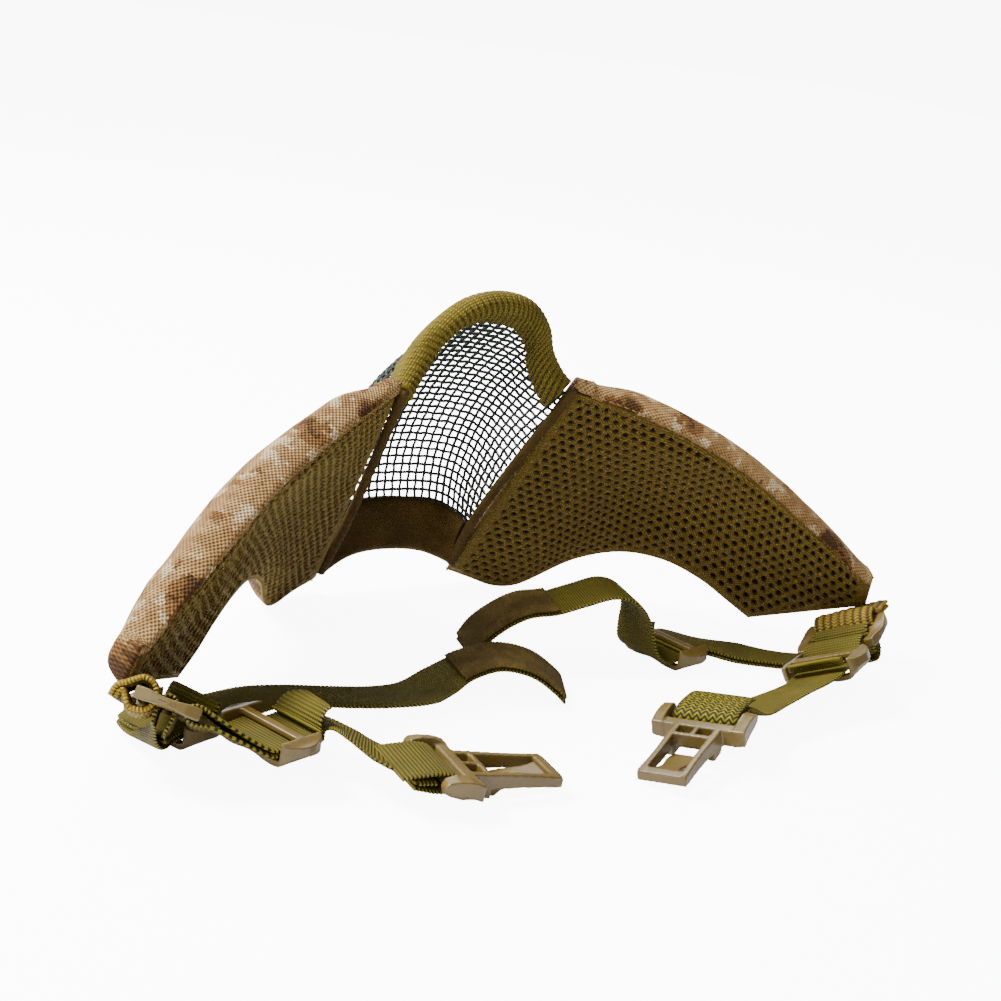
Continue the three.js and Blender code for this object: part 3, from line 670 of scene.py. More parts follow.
def face_point(s, t):
    """The face panel: s runs from the left fold (-1) to the right (1), t from chin to nose."""
    s, t = np.broadcast_arrays(np.asarray(s, float), np.asarray(t, float))
    inside = np.clip(t, 0, 1)
    u = ((s + 1) / 2)[..., None]
    rise = t[..., None]
    right = FOLD_LINE.at(inside)
    left = right * [-1, 1, 1]
    top = NOSE_ARCH.at(u[..., 0])
    bottom = CHIN_LINE.at(u[..., 0])
    chin = [CHIN_LINE.points[0], CHIN_LINE.points[-1]]
    nose = [NOSE_ARCH.points[0], NOSE_ARCH.points[-1]]
    corners = (chin[0] + (chin[1] - chin[0]) * u) * (1 - rise)
    corners = corners + (nose[0] + (nose[1] - nose[0]) * u) * rise
    p = left + (right - left) * u + bottom + (top - bottom) * rise - corners
    dome = np.sin(math.pi * inside**0.9)
    p[..., 1] += 20 * np.maximum(1 - s * s, 0) ** 0.75 * dome
    p[..., 0] += 8 * np.sin(math.pi * s) * dome
    return p


def face_normal(s, t):
    h = 0.01
    s = np.clip(s, -0.97, 0.97)
    t = np.clip(t, 0.02, 0.98)
    ds = face_point(s + h, t) - face_point(s - h, t)
    dt = face_point(s, t + h) - face_point(s, t - h)
    return -unit(np.cross(ds, dt))


def band_points(stations, depths, offsets, from_top):
    """Points at depths from the panel's top or bottom edge, offset along its normal."""
    edge, inward = (1.0, -1.0) if from_top else (0.0, 1.0)
    rows = []
    walk = np.linspace(0, 0.5, 240)
    for s, depth, offset in zip(stations, depths, offsets):
        line = face_point(np.full(walk.shape, s), edge + inward * walk)
        run = run_of(line)
        t = edge + inward * np.interp(np.maximum(depth, 0), run, walk)
        p = face_point(np.full(t.shape, s), t)
        out = unit(face_point(s, edge) - face_point(s, edge + inward * 0.04))
        p = p + out * np.maximum(-depth, 0)[:, None]
        rows.append(p + face_normal(np.full(t.shape, s), t) * offset[:, None])
    return np.array(rows)


# ---------------------------------------------------------------- the face
def crimped_wire(wire, other, phase, sign):
    """Rings of a wire that waves over and under those it crosses."""
    crimp = sign * np.cos(math.pi * (wire[:, other] / WIRE_PITCH + phase))
    centre = wire[:, :3] + wire[:, 3:6] * (WIRE_CRIMP * WIRE_RADIUS * crimp)[:, None]
    return tube_rings(leaned(centre), leaned_way(wire[:, 3:6]), WIRE_RADIUS, TUBE_SIDES)


def woven_face():
    """Crimped wires both ways, at an even pitch over the domed panel."""
    s = np.linspace(-1, 1, 181) * (1 - WIRE_END_GAP / FACE_HALF_WIDTH)
    t = np.linspace(0.02, 0.985, 261)
    grid_s, grid_t = np.meshgrid(s, t, indexing="ij")
    points = face_point(grid_s, grid_t)
    normals = face_normal(grid_s, grid_t)
    across = run_of(points)
    across -= across[len(s) // 2]
    upward = run_of(points, 1)
    for i in range(len(s)):
        upward[i] -= np.interp(WIRE_MIDDLE_HEIGHT, points[i, :, 2], upward[i])
    data = np.concatenate([points, normals, across[..., None], upward[..., None]], -1)
    tubes = []
    for axis, sign in ((0, 1), (1, -1)):
        lines = data if axis else data.transpose(1, 0, 2)
        measure = 6 + axis
        reach = int(np.abs(lines[..., measure]).max() / WIRE_PITCH) + 1
        for k in range(-reach, reach + 1):
            wanted = k * WIRE_PITCH
            rows = []
            for line in lines:
                if line[0, measure] <= wanted <= line[-1, measure]:
                    rows.append([np.interp(wanted, line[:, measure], column) for column in line.T])
                elif axis and rows:
                    rows.append(None)
            run = []
            for row in [*rows, None]:
                if row is not None:
                    run.append(row)
                    continue
                if len(run) > SHORTEST_WIRE:
                    tubes.append(crimped_wire(np.array(run), 7 - axis, k, sign))
                run = []
    face = joined_tubes("woven_steel_face", tubes, "steel")
    settle(face, "face", "woven_steel", "steel_mesh_face")


def rounded_section(depth, half, roll, slot, count):
    """Depth and offset round a folded band, from its inner lip over the roll and back."""
    angle = np.linspace(-math.pi / 2, math.pi / 2, count // 2)
    nose_depth = -roll + half * 0.9 * (1 - np.cos(angle))
    nose_offset = half * np.sin(angle)
    skirt = np.linspace(half * 0.9 - roll + 0.6, depth, count // 4)
    share = (skirt - skirt[0]) / (depth - skirt[0])
    fall = half * (1 - 0.25 * share**2)
    fall[-1] = (half * 0.6 + slot) / 2
    lip = np.array([depth - 0.2, depth * 0.6])
    depths = np.concatenate([lip[::-1], skirt[::-1], nose_depth, skirt, lip])
    inner = np.array([slot, slot])
    offsets = np.concatenate([-inner, -fall[::-1], nose_offset, fall, inner])
    return depths, offsets


def edge_band(name, finish, slot_name, node, from_top):
    """A folded fabric band on the panel's edge, ribbed on the nose and smooth on the chin."""
    depth = BINDING_DEPTH if from_top else CHIN_DEPTH
    half = BINDING_HALF if from_top else CHIN_HALF
    roll = BINDING_ROLL if from_top else CHIN_ROLL
    share = 1 - (BINDING_END_GAP if from_top else FOLD_GAP) / FACE_HALF_WIDTH
    stations = share * np.linspace(-1, 1, 330 if from_top else 150)
    depths, offsets = rounded_section(depth, half, roll, BAND_SLOT, 36)
    smooth = band_points(stations, [depths] * len(stations), [offsets] * len(stations), from_top)
    middle = smooth.mean(axis=1)
    perimeter = run_of(np.stack([depths, offsets], -1))
    along, around = np.meshgrid(run_of(middle), perimeter, indexing="ij")
    tangent = unit(np.gradient(smooth, axis=0))
    way = unit(np.gradient(smooth, axis=1))
    outer = unit(np.cross(way, tangent))
    toward = smooth - middle[:, None]
    outer = outer * np.sign(np.sum(outer * toward, -1, keepdims=True) + 1e-9)
    if from_top:
        inner_side = smooth_step(-offsets, -half * 0.4, half * 0.5)[None]
        wave = np.cos(2 * math.pi * (along / RIB_PITCH + around / RIB_SLANT))
        rows = np.cos(2 * math.pi * around / RIB_ROW)
        ribs = 0.5 + 0.5 * wave * (0.75 + 0.25 * rows)
        strength = 0.35 + 0.65 * inner_side
        height = RIB_HEIGHT * strength * ribs
        # how deep each point lies between the ribs, for the knit's painted shade in the pits
        pit = (1 - ribs) ** 2 * strength
    else:
        height = 0.12 * np.sin(along / 5.2) * np.sin(around / 3.9)
        pit = np.zeros(along.shape)
    points = smooth + outer * height[..., None]
    uv = np.stack([along, around], -1)
    uv = np.concatenate([uv, uv[:, :1] + [0, perimeter[-1] + 1]], axis=1)
    band = grid_object(name, leaned(points), finish, uv, closed=True, capped=True, pit=pit)
    outward(band)
    settle(band, "face", slot_name, node)
    return band


def fold_rolls():
    """The sewn fold between the face and each wing, a narrow roll beside the hinge line."""
    t = np.linspace(0.0, 1.0, 160)
    base = FOLD_LINE.at(t)
    rise = unit(base[-1] - base[-2]) * np.linspace(0.3, SEAM_RISE, 8)[:, None]
    base = np.vstack([base, base[-1] + rise])
    for side, name in ((1, "right"), (-1, "left")):
        line = leaned((base - [SEAM_INSET, 0, 0]) * [side, 1, 1])
        normals = np.tile([0.0, 1.0, 0.2], (len(line), 1))
        rings = tube_rings(line, normals, SEAM_RADIUS, 12)
        ripple = 1 + 0.06 * np.cos(np.arange(len(line)) * 1.3)
        rings = line[:, None] + (rings - line[:, None]) * ripple[:, None, None]
        roll = joined_tubes(f"{name}_fold_seam", [rings], "chin")
        settle(roll, "face", "chin_knit")


# ---------------------------------------------------------------- the cheek wings
CORNER_SHARE = 0.78
WING_CORNER = np.array([105, -43, 18.5])
WING_END = np.array([131, -62, 38])
LOWER_ARCH = Curve([
    (27, 21.5, -9), (34, 19, -10.6), (42, 14.5, -11.3), (48, 10.5, -8.2), (60, 0, 12),
    (70, -9, 22), (80, -19, 26), (90, -29, 25), (98, -37, 21.7), WING_CORNER,
])
UPPER_SEAM = Curve([
    (33, 4.5, 84), (50, -7, 83.5), (67, -18, 80.5), (84, -29, 75.5), (107, -46, 64.5), (128, -61, 51.5),
])


def lower_seam(u):
    first = LOWER_ARCH.along(np.clip(u / CORNER_SHARE, 0, 1))
    share = np.clip((u - CORNER_SHARE) / (1 - CORNER_SHARE), 0, 1)[..., None]
    return np.where((u < CORNER_SHARE)[..., None], first, WING_CORNER + (WING_END - WING_CORNER) * share)


class WingStations:
    """Frames of the right wing at shares u of its length."""

    def __init__(self, u):
        u = np.asarray(u, float)
        self.u = u
        self.low = lower_seam(u)
        high = UPPER_SEAM.along(u)
        u0, u1 = np.maximum(0, u - 0.02), np.minimum(1, u + 0.02)
        start = (lower_seam(u0) + UPPER_SEAM.along(u0)) / 2
        end = (lower_seam(u1) + UPPER_SEAM.along(u1)) / 2
        self.way = unit(end - start)
        self.height = np.linalg.norm(high - self.low, axis=-1)
        self.up = unit(high - self.low)
        out = -unit(np.cross(self.way, self.up))
        self.out = out * np.where(out[..., 1:2] < 0, -1, 1)
        self.puff = np.sin(math.pi * np.clip(u, 0, 1))
        rise = smooth_step(u, 0, 0.2)
        fall = 1 - smooth_step(u, 0.85, 1)
        self.thick = PAD_THICKNESS * (0.5 + 0.5 * rise) * (0.75 + 0.25 * fall)

    def points(self, w, n):
        """Points from heights w and offsets n, one row for each station."""
        share = np.clip(w / self.height[:, None], 0, 1)
        bow = WING_BOW * self.puff[:, None] * np.sin(math.pi * share)
        p = self.low[:, None] + self.up[:, None] * w[..., None]
        return p + self.out[:, None] * (n + bow)[..., None]


def lining_section(height, thick, v):
    """Inner face, from the lower seam (v 0) to the seam under the top wrap (v 1)."""
    top = height - TOP_WRAP
    w = FOOT_LIFT + (top - FOOT_LIFT) * v
    pull = 1.2 * np.exp(-(((w - FOOT_LIFT) / 2.0) ** 2)) + 0.7 * np.exp(-(((top - w) / 1.8) ** 2))
    return w, pull


def cover_section(height, thick, v):
    """Top wrap and outer face, from the inner seam (v 0) over the top to the lower seam."""
    h, t = height, thick
    foot = min(0.2 * h, 8)
    mid = t / 2
    outline = Curve([
        (h - TOP_WRAP, 0.65, 0), (h - 1.6, -0.1, 0), (h - 0.1, 1.0, 0), (h + 0.35, mid, 0),
        (h - 0.5, t * 0.8, 0), (h * 0.93, t * 0.97, 0), (h * 0.75, t + 0.3, 0), (h * 0.5, t + 0.5, 0),
        (foot * 1.3, t + 0.2, 0), (foot * 0.6, t * 0.86, 0), (foot * 0.15, t * 0.5, 0), (0.3, 1.8, 0),
    ])
    p = outline.along(v)
    return p[:, 0], p[:, 1]


def wing_surface(stations, v, section):
    """A grid of points, stations by v."""
    rows = [section(h, t, v) for h, t in zip(stations.height, stations.thick)]
    w = np.array([r[0] for r in rows])
    n = np.array([r[1] for r in rows])
    return stations.points(w, n)


def pressed_pad(rings, pinned):
    """Fills a closed tube of fabric with pressure and returns how far each point moved."""
    n, m = rings.shape[:2]
    pad = grid_object("pad_study", rings, "camo", closed=True, capped=True)
    outward(pad)
    group = pad.vertex_groups.new(name="seams")
    group.add(np.flatnonzero(pinned.ravel()).tolist(), 1.0, "REPLACE")
    cloth = pad.modifiers.new("Cloth", "CLOTH")
    settings = cloth.settings
    settings.vertex_group_mass = "seams"
    settings.use_pressure = True
    settings.uniform_pressure_force = PAD_PRESSURE
    settings.effector_weights.gravity = 0
    settings.quality = 6
    settings.mass = 0.25
    settings.tension_stiffness = 12
    settings.compression_stiffness = 8
    settings.shear_stiffness = 4
    settings.bending_stiffness = 0.4
    cloth.collision_settings.use_collision = False
    cloth.collision_settings.use_self_collision = False
    cloth.point_cache.frame_start = 1
    cloth.point_cache.frame_end = PAD_FRAMES
    for number in range(1, PAD_FRAMES + 1):
        bpy.context.scene.frame_set(number)
    result = pad.evaluated_get(bpy.context.evaluated_depsgraph_get()).to_mesh()
    moved = np.zeros(len(result.vertices) * 3)
    result.vertices.foreach_get("co", moved)
    moved = moved.reshape(n, m, 3) / MM - SHIFT - rings
    bpy.data.objects.remove(pad)
    bpy.context.scene.frame_set(1)
    length = np.linalg.norm(moved, axis=-1, keepdims=True)
    return moved * np.minimum(1, PAD_CAP / np.maximum(length, 1e-6))


def coarse_wing():
    """The pad's movement under pressure, on coarse grids over its lining and its cover."""
    u = np.linspace(0, 1, 64)
    v_in = np.linspace(0, 1, 30)
    v_out = np.linspace(0, 1, 44)
    stations = WingStations(u)
    inner = wing_surface(stations, v_in, lining_section)
    outer = wing_surface(stations, v_out, cover_section)
    rings = np.concatenate([inner, outer[:, 1:-1]], axis=1)
    pinned = np.zeros(rings.shape[:2], bool)
    pinned[[0, -1]] = True
    pinned[:, [0, len(v_in) - 1]] = True
    moved = pressed_pad(leaned(rings), pinned)
    corner = len(v_in) - 1
    outer_move = np.concatenate([moved[:, corner:], moved[:, :1]], axis=1)
    return {"u": u, "in": (v_in, moved[:, : corner + 1]), "out": (v_out, outer_move)}


def sampled(coarse, key, u, v):
    if coarse is None:
        return np.zeros((len(u), len(v), 3))
    knots, moved = coarse[key]
    first = np.stack([placed(v, knots, row) for row in moved])
    return np.stack([placed(u, coarse["u"], first[:, j]) for j in range(len(v))], 1)


def hole_pattern(along, across):
    """Share of each point that lies in an oval hole of the spacer mesh, in staggered rows."""
    row = np.round(across / HOLE_ROW)
    shifted = along / HOLE_PITCH - 0.5 * (row % 2)
    x = (shifted - np.round(shifted)) * HOLE_PITCH
    y = across - row * HOLE_ROW
    radius = np.hypot(x, y / HOLE_HEIGHT)
    return 1 - smooth_step(radius, HOLE_RADIUS * 0.72, HOLE_RADIUS * 1.12)


def wing(name, side, coarse):
    """One cheek wing: camouflage cover with a folded front hem, and a holed spacer lining."""
    flip = np.array([side, 1, 1])

    def shaped(key, section, grid):
        """The surface after pressing, with its normals and its lengths along and across."""
        u, v = np.linspace(0, 1, grid[0]), np.linspace(0, 1, grid[1])
        stations = WingStations(u)
        points = leaned(wing_surface(stations, v, section)) + sampled(coarse, key, u, v)
        facing = unit(np.cross(np.gradient(points, axis=0), np.gradient(points, axis=1)))
        along = np.repeat(run_of(points.mean(axis=1))[:, None], len(v), axis=1)
        return stations, points, facing, along, run_of(points, 1)

    stations, points, facing, along, across = shaped("in", lining_section, LINING_GRID)
    inside = leaned_way(-stations.out)[:, None]
    facing = facing * np.sign(np.sum(facing * inside, -1, keepdims=True))
    holes = hole_pattern(along, stations.height[:, None] - across)
    margin = smooth_step(across, 1.5, 3.5) * smooth_step(across[:, -1:] - across, 0.8, 2.2)
    margin = margin * smooth_step(along, 2, 4) * smooth_step(along[-1:] - along, 1, 3)
    holes = holes * margin
    ridge = 0.12 * np.cos(2 * math.pi * across / HOLE_ROW)
    points = points + facing * (ridge - HOLE_DEPTH * holes)[..., None]
    way = leaned_way(stations.way)

    def spines(surface):
        """A line up each end of the wing, 1 mm out from its lower seam, to close the end on it."""
        lines = []
        for k in (0, -1):
            up = leaned_way(stations.up)[k]
            low = leaned(stations.low)[k]
            height = np.sum((surface[k] - low) * up, -1)
            lines.append(low + height[:, None] * up + leaned_way(stations.out)[k])
        return lines

    def ended(surface):
        """A surface with rows added that draw both its ends in to those lines."""
        spine = spines(surface)
        before, after = [], []
        for angle in END_ANGLES:
            share, push = math.cos(angle), math.sin(angle) * END_REACH
            before.append(spine[0] + (surface[0] - spine[0]) * share - way[0] * push)
            after.append(spine[1] + (surface[-1] - spine[1]) * share + way[-1] * push * 2)
        return np.concatenate([before, surface, after[::-1]])

    def widened(values):
        """Values for those added rows too."""
        extra = len(END_ANGLES)
        return np.concatenate([values[:1]] * extra + [values] + [values[-1:]] * extra)

    def run_on(along):
        """Lengths along the wing that go on round its ends."""
        ends = np.array(END_ANGLES) * END_REACH * 3
        first = along[:1] - ends[:, None]
        last = along[-1:] + ends[::-1, None]
        return np.concatenate([first, along, last])

    uv = np.stack([run_on(along), widened(across)], -1)
    # the holes also carry the lining's painted shade
    lining = grid_object(f"{name}_lining", ended(points) * flip, "spacer", uv, pit=widened(holes))
    shell(lining, LINING_THICKNESS)
    settle(lining, f"{name}_cheek", "spacer_mesh", f"{name}_spacer_lining")
    seam_line = points[:, -5] + facing[:, -5] * 0.15
    rows = stitch_row(seam_line[6:-3] * flip, facing[6:-3, -5] * flip)

    stations, points, facing, along, across = shaped("out", cover_section, COVER_GRID)
    outward_way = points - points.mean(axis=1, keepdims=True)
    facing = facing * np.sign(np.sum(facing * outward_way, -1, keepdims=True) + 1e-9)
    hem = 1 - smooth_step(stations.u, HEM_SHARE - 0.004, HEM_SHARE + 0.004)
    slub = 0.05 * np.sin(along / 2.7 + 1.3 * np.sin(across / 4.1))
    points = points + facing * (slub + HEM_RISE * hem[:, None])[..., None]
    uv = np.stack([run_on(along), widened(across)], -1)
    cover = grid_object(f"{name}_cover", ended(points) * flip, "camo", uv)
    shell(cover, COVER_THICKNESS)
    nodes = [f"{name}_{part}" for part in ("camo_cover", "cheek_foam", "front_hem")]
    settle(cover, f"{name}_cheek", "camo_fabric", *nodes)
    hem_row = int(np.argmax(stations.u > HEM_SHARE - 0.012))
    rows += stitch_row(points[hem_row, 2:-8] * flip, facing[hem_row, 2:-8] * flip)
    top_seam = (slice(10, -4), TOP_SEAM_COLUMN)
    rows += stitch_row(points[top_seam] * flip, facing[top_seam] * flip)
    threads = joined_tubes(f"{name}_wing_stitching", rows, "thread")
    settle(threads, f"{name}_cheek", "camo_fabric")


def shell(obj, thickness):
    """Gives a sheet its thickness, away from its visible side."""
    faced_away(obj)
    solid = obj.modifiers.new("Solidify", "SOLIDIFY")
    solid.thickness = thickness * MM
    solid.offset = -1
    applied(obj)


def faced_away(obj):
    """Turns an open sheet's faces so that they point away from the wing's middle plane."""
    mesh = obj.data
    count = len(mesh.polygons)
    centres = np.zeros(count * 3)
    normals = np.zeros(count * 3)
    areas = np.zeros(count)
    mesh.polygons.foreach_get("center", centres)
    mesh.polygons.foreach_get("normal", normals)
    mesh.polygons.foreach_get("area", areas)
    centres = centres.reshape(-1, 3) / MM - SHIFT
    normals = normals.reshape(-1, 3)
    side = 1 if centres[:, 0].mean() > 0 else -1
    stations = WingStations(np.linspace(0, 1, 60))
    mid = leaned(stations.low + stations.up * stations.height[:, None] / 2)
    mid = mid + leaned_way(stations.out) * (stations.thick / 2 + WING_BOW * stations.puff)[:, None]
    mid = mid * [side, 1, 1]
    out = leaned_way(stations.out) * [side, 1, 1]
    nearest = np.argmin(np.abs(centres[:, None, 0] - mid[None, :, 0]), axis=1)
    level = np.sum((centres - mid[nearest]) * out[nearest], -1)
    vote = np.sum(np.sign(level) * np.sum(normals * out[nearest], -1) * areas * np.abs(level))
    if vote < 0:
        mesh.flip_normals()


# ---------------------------------------------------------------- harness layout
def buckle(at, run, bars):
    """Where a buckle lies, the way its webbing runs, and the way its bars lie."""
    return {"at": np.array(at, float), "run": np.array(run, float), "bars": np.array(bars, float)}


HARNESS = {
    "right": {
        "ring": buckle((117, -80, 14.5), (-0.8, -0.55, -0.24), (0.4, -0.78, 0.48)),
        "tape_start": (132.6, -70.5, 18.4),
        "tape_side": (0.5, -0.7, 0.5),
        "clip_adjuster": buckle((99.5, -93, 9.5), (-0.9, -0.42, -0.12), (0.36, -0.8, 0.48)),
        "clip_strap": [(84, -98.6, 8.2), (74, -100.6, 7.2), (62, -103.6, 6.4), (50, -107.4, 7)],
        "clip_sides": [
            (0.33, -0.83, 0.45), (0.32, -0.85, 0.42), (0.34, -0.87, 0.36), (0.4, -0.87, 0.28),
        ],
        "clip": buckle((32, -113.5, 9.8), (-0.86, -0.51, -0.16), (0.5, -0.84, 0.2)),
        "elastic_adjuster": buckle((66.5, -51, 2), (-0.98, -0.21, 0), (0.21, -0.98, 0)),
        "elastic_rise": [(84, -56.5, 2.6), (96, -64, 2.6), (107, -71.2, 2.75), (117, -80, 6.3)],
        "drop": 8,
        "elastic_strap": [
            (53.2, -53, 5.5), (51.6, -52.3, 11), (51, -51.8, 16), (48.8, -51.2, 21),
            (44.5, -50, 24.4), (39, -48.4, 25.2), (30, -46, 22.4), (21.5, -43.5, 19.4),
            (12.5, -41.2, 18), (5.5, -39.4, 14.2), (0, -37.8, 9), (-3.2, -36.6, 2.4),
        ],
        "elastic_sides": [
            (0.15, -0.98, 0), (0, -1, 0), (-0.1, -1, 0), (-0.2, -0.98, 0),
            (-0.25, -0.97, 0), (-0.28, -0.96, 0), (-0.3, -0.95, 0), (-0.3, -0.95, 0),
            (-0.3, -0.95, 0), (-0.3, -0.95, 0), (-0.28, -0.96, 0), (-0.25, -0.97, 0),
        ],
        "patch_from": 0.71,
        "wrap_finish": "chevron",
    },
    "left": {
        "ring": buckle((-124.4, -81, 17.3), (0.8, -0.55, -0.24), (-0.4, -0.78, 0.48)),
        "tape_start": (-134.9, -73.4, 16.9),
        "tape_side": (-0.5, -0.7, 0.5),
        "clip_adjuster": buckle((-99.3, -90.7, 9.6), (0.957, 0.29, 0), (0.29, -0.957, 0)),
        "clip_strap": [
            (-87, -86.5, 11.6), (-82.5, -90, 12), (-79, -97, 11.4), (-76, -105, 10), (-71, -112, 8.4),
        ],
        "clip_sides": [
            (0.1, -0.99, 0.1), (-0.3, -0.92, 0.25), (-0.55, -0.8, 0.3),
            (-0.5, -0.84, 0.2), (-0.25, -0.96, 0.06),
        ],
        "clip": buckle((-63, -115, 8), (0.99, -0.12, -0.09), (0.12, 0.99, 0)),
        "elastic_adjuster": buckle((-113.3, -60.8, 2), (0.93, 0.35, 0), (0.35, -0.93, 0)),
        "elastic_rise": [(-124.5, -67, 3.8), (-127, -75, 6.4)],
        "drop": 6,
        "elastic_strap": [
            (-94, -54.5, 2.2), (-83, -52.8, 2.7), (-72, -54.5, 2.7), (-60, -58.5, 2.7),
            (-48, -61.5, 2.7), (-36, -61.5, 2.7), (-27, -58.8, 4.2), (-17, -57.6, 7.6),
            (-7, -60, 10.2), (2, -64.2, 8.8), (8.3, -68, 4.6), (11, -70, 1.9),
        ],
        "elastic_sides": [
            (0.3, -0.95, 0.05), (0.15, -0.98, 0.1), (-0.1, -0.99, 0.12), (-0.2, -0.97, 0.12),
            (-0.12, -0.98, 0.12), (0.1, -0.99, 0.1), (0, -1, 0.05), (-0.3, -0.95, 0),
            (-0.45, -0.89, 0), (-0.48, -0.88, 0), (-0.48, -0.88, 0), (-0.48, -0.88, 0),
        ],
        "patch_from": 0.69,
        "wrap_finish": "webbing",
    },
}


def buckle_frame(layout):
    """Rows of the local axes: X the way the webbing runs, Y along the bars, Z up."""
    x = unit(layout["run"])
    z = unit(np.cross(x, layout["bars"]))
    if z[2] < 0:
        z = -z
    return np.array([x, np.cross(z, x), z])


def in_frame(layout, x, y, z):
    return layout["at"] + np.array([x, y, z], float) @ buckle_frame(layout)


# ---------------------------------------------------------------- webbing
LOWER_LAYER = GAP + WEB_THICKNESS / 2
LAYER_MIDDLE = 1.5 * GAP + WEB_THICKNESS


def side_at(sides, share):
    reach = np.asarray(share, float) * (len(sides) - 1)
    return unit(placed(reach, np.arange(len(sides)), sides))


def even_path(points, sides, step):
    """Points and width directions at an even step along a line of points."""
    run = run_of(points)
    count = max(8, int(round(run[-1] / step)))
    reach = np.linspace(0, run[-1], count + 1)
    return placed(reach, run, points), unit(placed(reach, run, sides)), reach


def path_frame(points, sides, share):
    """Points at shares of a curve, with their width directions and normals."""
    line = Curve(points)
    side = side_at(sides, share)
    nearby = line.at(np.clip(share + 0.004, 0, 1)) - line.at(np.clip(share - 0.004, 0, 1))
    return line.at(share), side, unit(np.cross(unit(nearby), side))


def band_object(
    name, points, sides, finish, thickness=WEB_THICKNESS, width=WEB_WIDTH, rib=WEB_RIB, lengthwise=0
):
    """A woven band: rounded edges, cross ribs or lengthwise ribs, and turned yarn at its edges."""
    line, side, reach = even_path(points, sides, BAND_STEP)
    tangent = unit(np.gradient(line, axis=0))
    normal = unit(np.cross(tangent, side))
    half_count = 33 if lengthwise else 13
    share = np.sin(np.linspace(-math.pi / 2, math.pi / 2, half_count))
    profile = (1 - np.abs(share) ** 10) ** 0.5
    pitch, height = rib
    cross = height * np.cos(2 * math.pi * reach / pitch)[:, None]
    edge = smooth_step(np.abs(share), 0.93, 0.97)[None]
    knots = 0.14 * np.cos(2 * math.pi * reach / EDGE_TURN)[:, None] * edge
    groove = np.zeros(half_count)
    if lengthwise:
        groove = 0.5 + 0.5 * np.cos(math.pi * (share + 1) * lengthwise)
        profile = profile * (0.72 + 0.28 * groove)
    top = thickness / 2 * profile[None] + (cross * (1 - edge) + knots) * profile[None]
    shares = np.concatenate([share, share[-2:0:-1]])
    lifts = np.concatenate([top, -top[:, -2:0:-1]], axis=1)
    swell = 1 + 0.012 * np.cos(2 * math.pi * reach / EDGE_TURN)[:, None] * np.abs(shares)[None] ** 8
    grid = line[:, None] + side[:, None] * (shares[None] * swell * width / 2)[..., None]
    grid = grid + normal[:, None] * lifts[..., None]
    across = np.concatenate([shares, shares[:1]]) * width / 2 + width / 2
    uv = np.stack(np.meshgrid(reach, across, indexing="ij"), -1)
    rim = np.tile(smooth_step(np.abs(shares), 0.93, 0.955)[None], (len(line), 1))
    # the grooves between lengthwise ribs, which the tape darkens as painted shade
    pits = np.tile(np.concatenate([1 - groove, (1 - groove)[-2:0:-1]])[None], (len(line), 1))
    band = grid_object(
        name, grid, finish, uv, closed=True, capped=True, edge=rim, pit=pits if lengthwise else rim * 0
    )
    return outward(band)


def doubled_path(points, sides, wrap=BAR_RADIUS + GAP + WEB_THICKNESS / 2):
    """Out along a run, round a bar at its end, and back: a line of points with sides."""
    flat = (WEB_THICKNESS + GAP) / 2
    share = np.linspace(0, 1, 90)
    at, side, normal = path_frame(points, sides, share)
    half = flat + (wrap - flat) * smooth_step(share, 0.55, 0.95)
    there = at + normal * half[:, None]
    back = at - normal * half[:, None]
    angle = np.linspace(0, math.pi, 26)[1:-1, None]
    onward = np.cross(side[-1], normal[-1])
    turn = at[-1] + wrap * (np.cos(angle) * normal[-1] + np.sin(angle) * onward)
    points = np.concatenate([there, turn, back[::-1]])
    turned = np.concatenate([side, np.tile(side[-1], (len(turn), 1)), side[::-1]])
    return points, turned


def ring_loop(layout, adjuster, bar, rise):
    """The doubled strap from an adjuster to one bar of the ring."""
    start = [in_frame(adjuster, x, 0, LAYER_MIDDLE) for x in (1, -3, -8)]
    end = in_frame(layout["ring"], bar * RING_HALF_PITCH, 0, 0)
    turned = smooth_step((np.arange(len(rise)) + 1) / len(rise), 0.4, 1)[:, None]
    near = adjuster["bars"] * (1 - turned) + layout["ring"]["bars"] * turned
    sides = [adjuster["bars"]] * 3 + list(near) + [layout["ring"]["bars"]]
    return doubled_path(start + list(rise) + [end], sides)


def strap_route(adjuster, points, sides):
    """A strap's points and width directions, straight through its adjuster first."""
    straight = [in_frame(adjuster, x, 0, LOWER_LAYER) for x in (1.3, 5.5, 10)]
    return straight + list(points), [adjuster["bars"]] * 3 + list(sides)


def ribbon_path(points, sides, start=0.0, end=1.0, lift=0.0):
    """A stretch of a strap's route, lifted off it by that many millimetres."""
    at, side, normal = path_frame(points, sides, np.linspace(start, end, 200))
    normal = normal * np.where(normal[:, 2:] < 0, -1, 1)
    return at + normal * lift, side


def cut_tail(name, body, points, sides, begin=TAIL_BEGIN):
    """The strap's cut end, which lies loose on the strap just past its adjuster."""
    whole = run_of(Curve(points).at(np.linspace(0, 1, 200)))[-1]
    start = begin / whole
    lift = WEB_THICKNESS + 4 * GAP
    path, turned = ribbon_path(points, sides, start, start + TAIL_LENGTH / whole, lift)
    rise = smooth_step(np.linspace(0, 1, len(path)), 0.2, 1.0)[:, None]
    path = path + np.array([0, 0, TAIL_RISE]) * rise
    tail = band_object(name, path, turned, "webbing", WEB_THICKNESS, WEB_WIDTH - 0.8)
    settle(tail, body, "webbing")


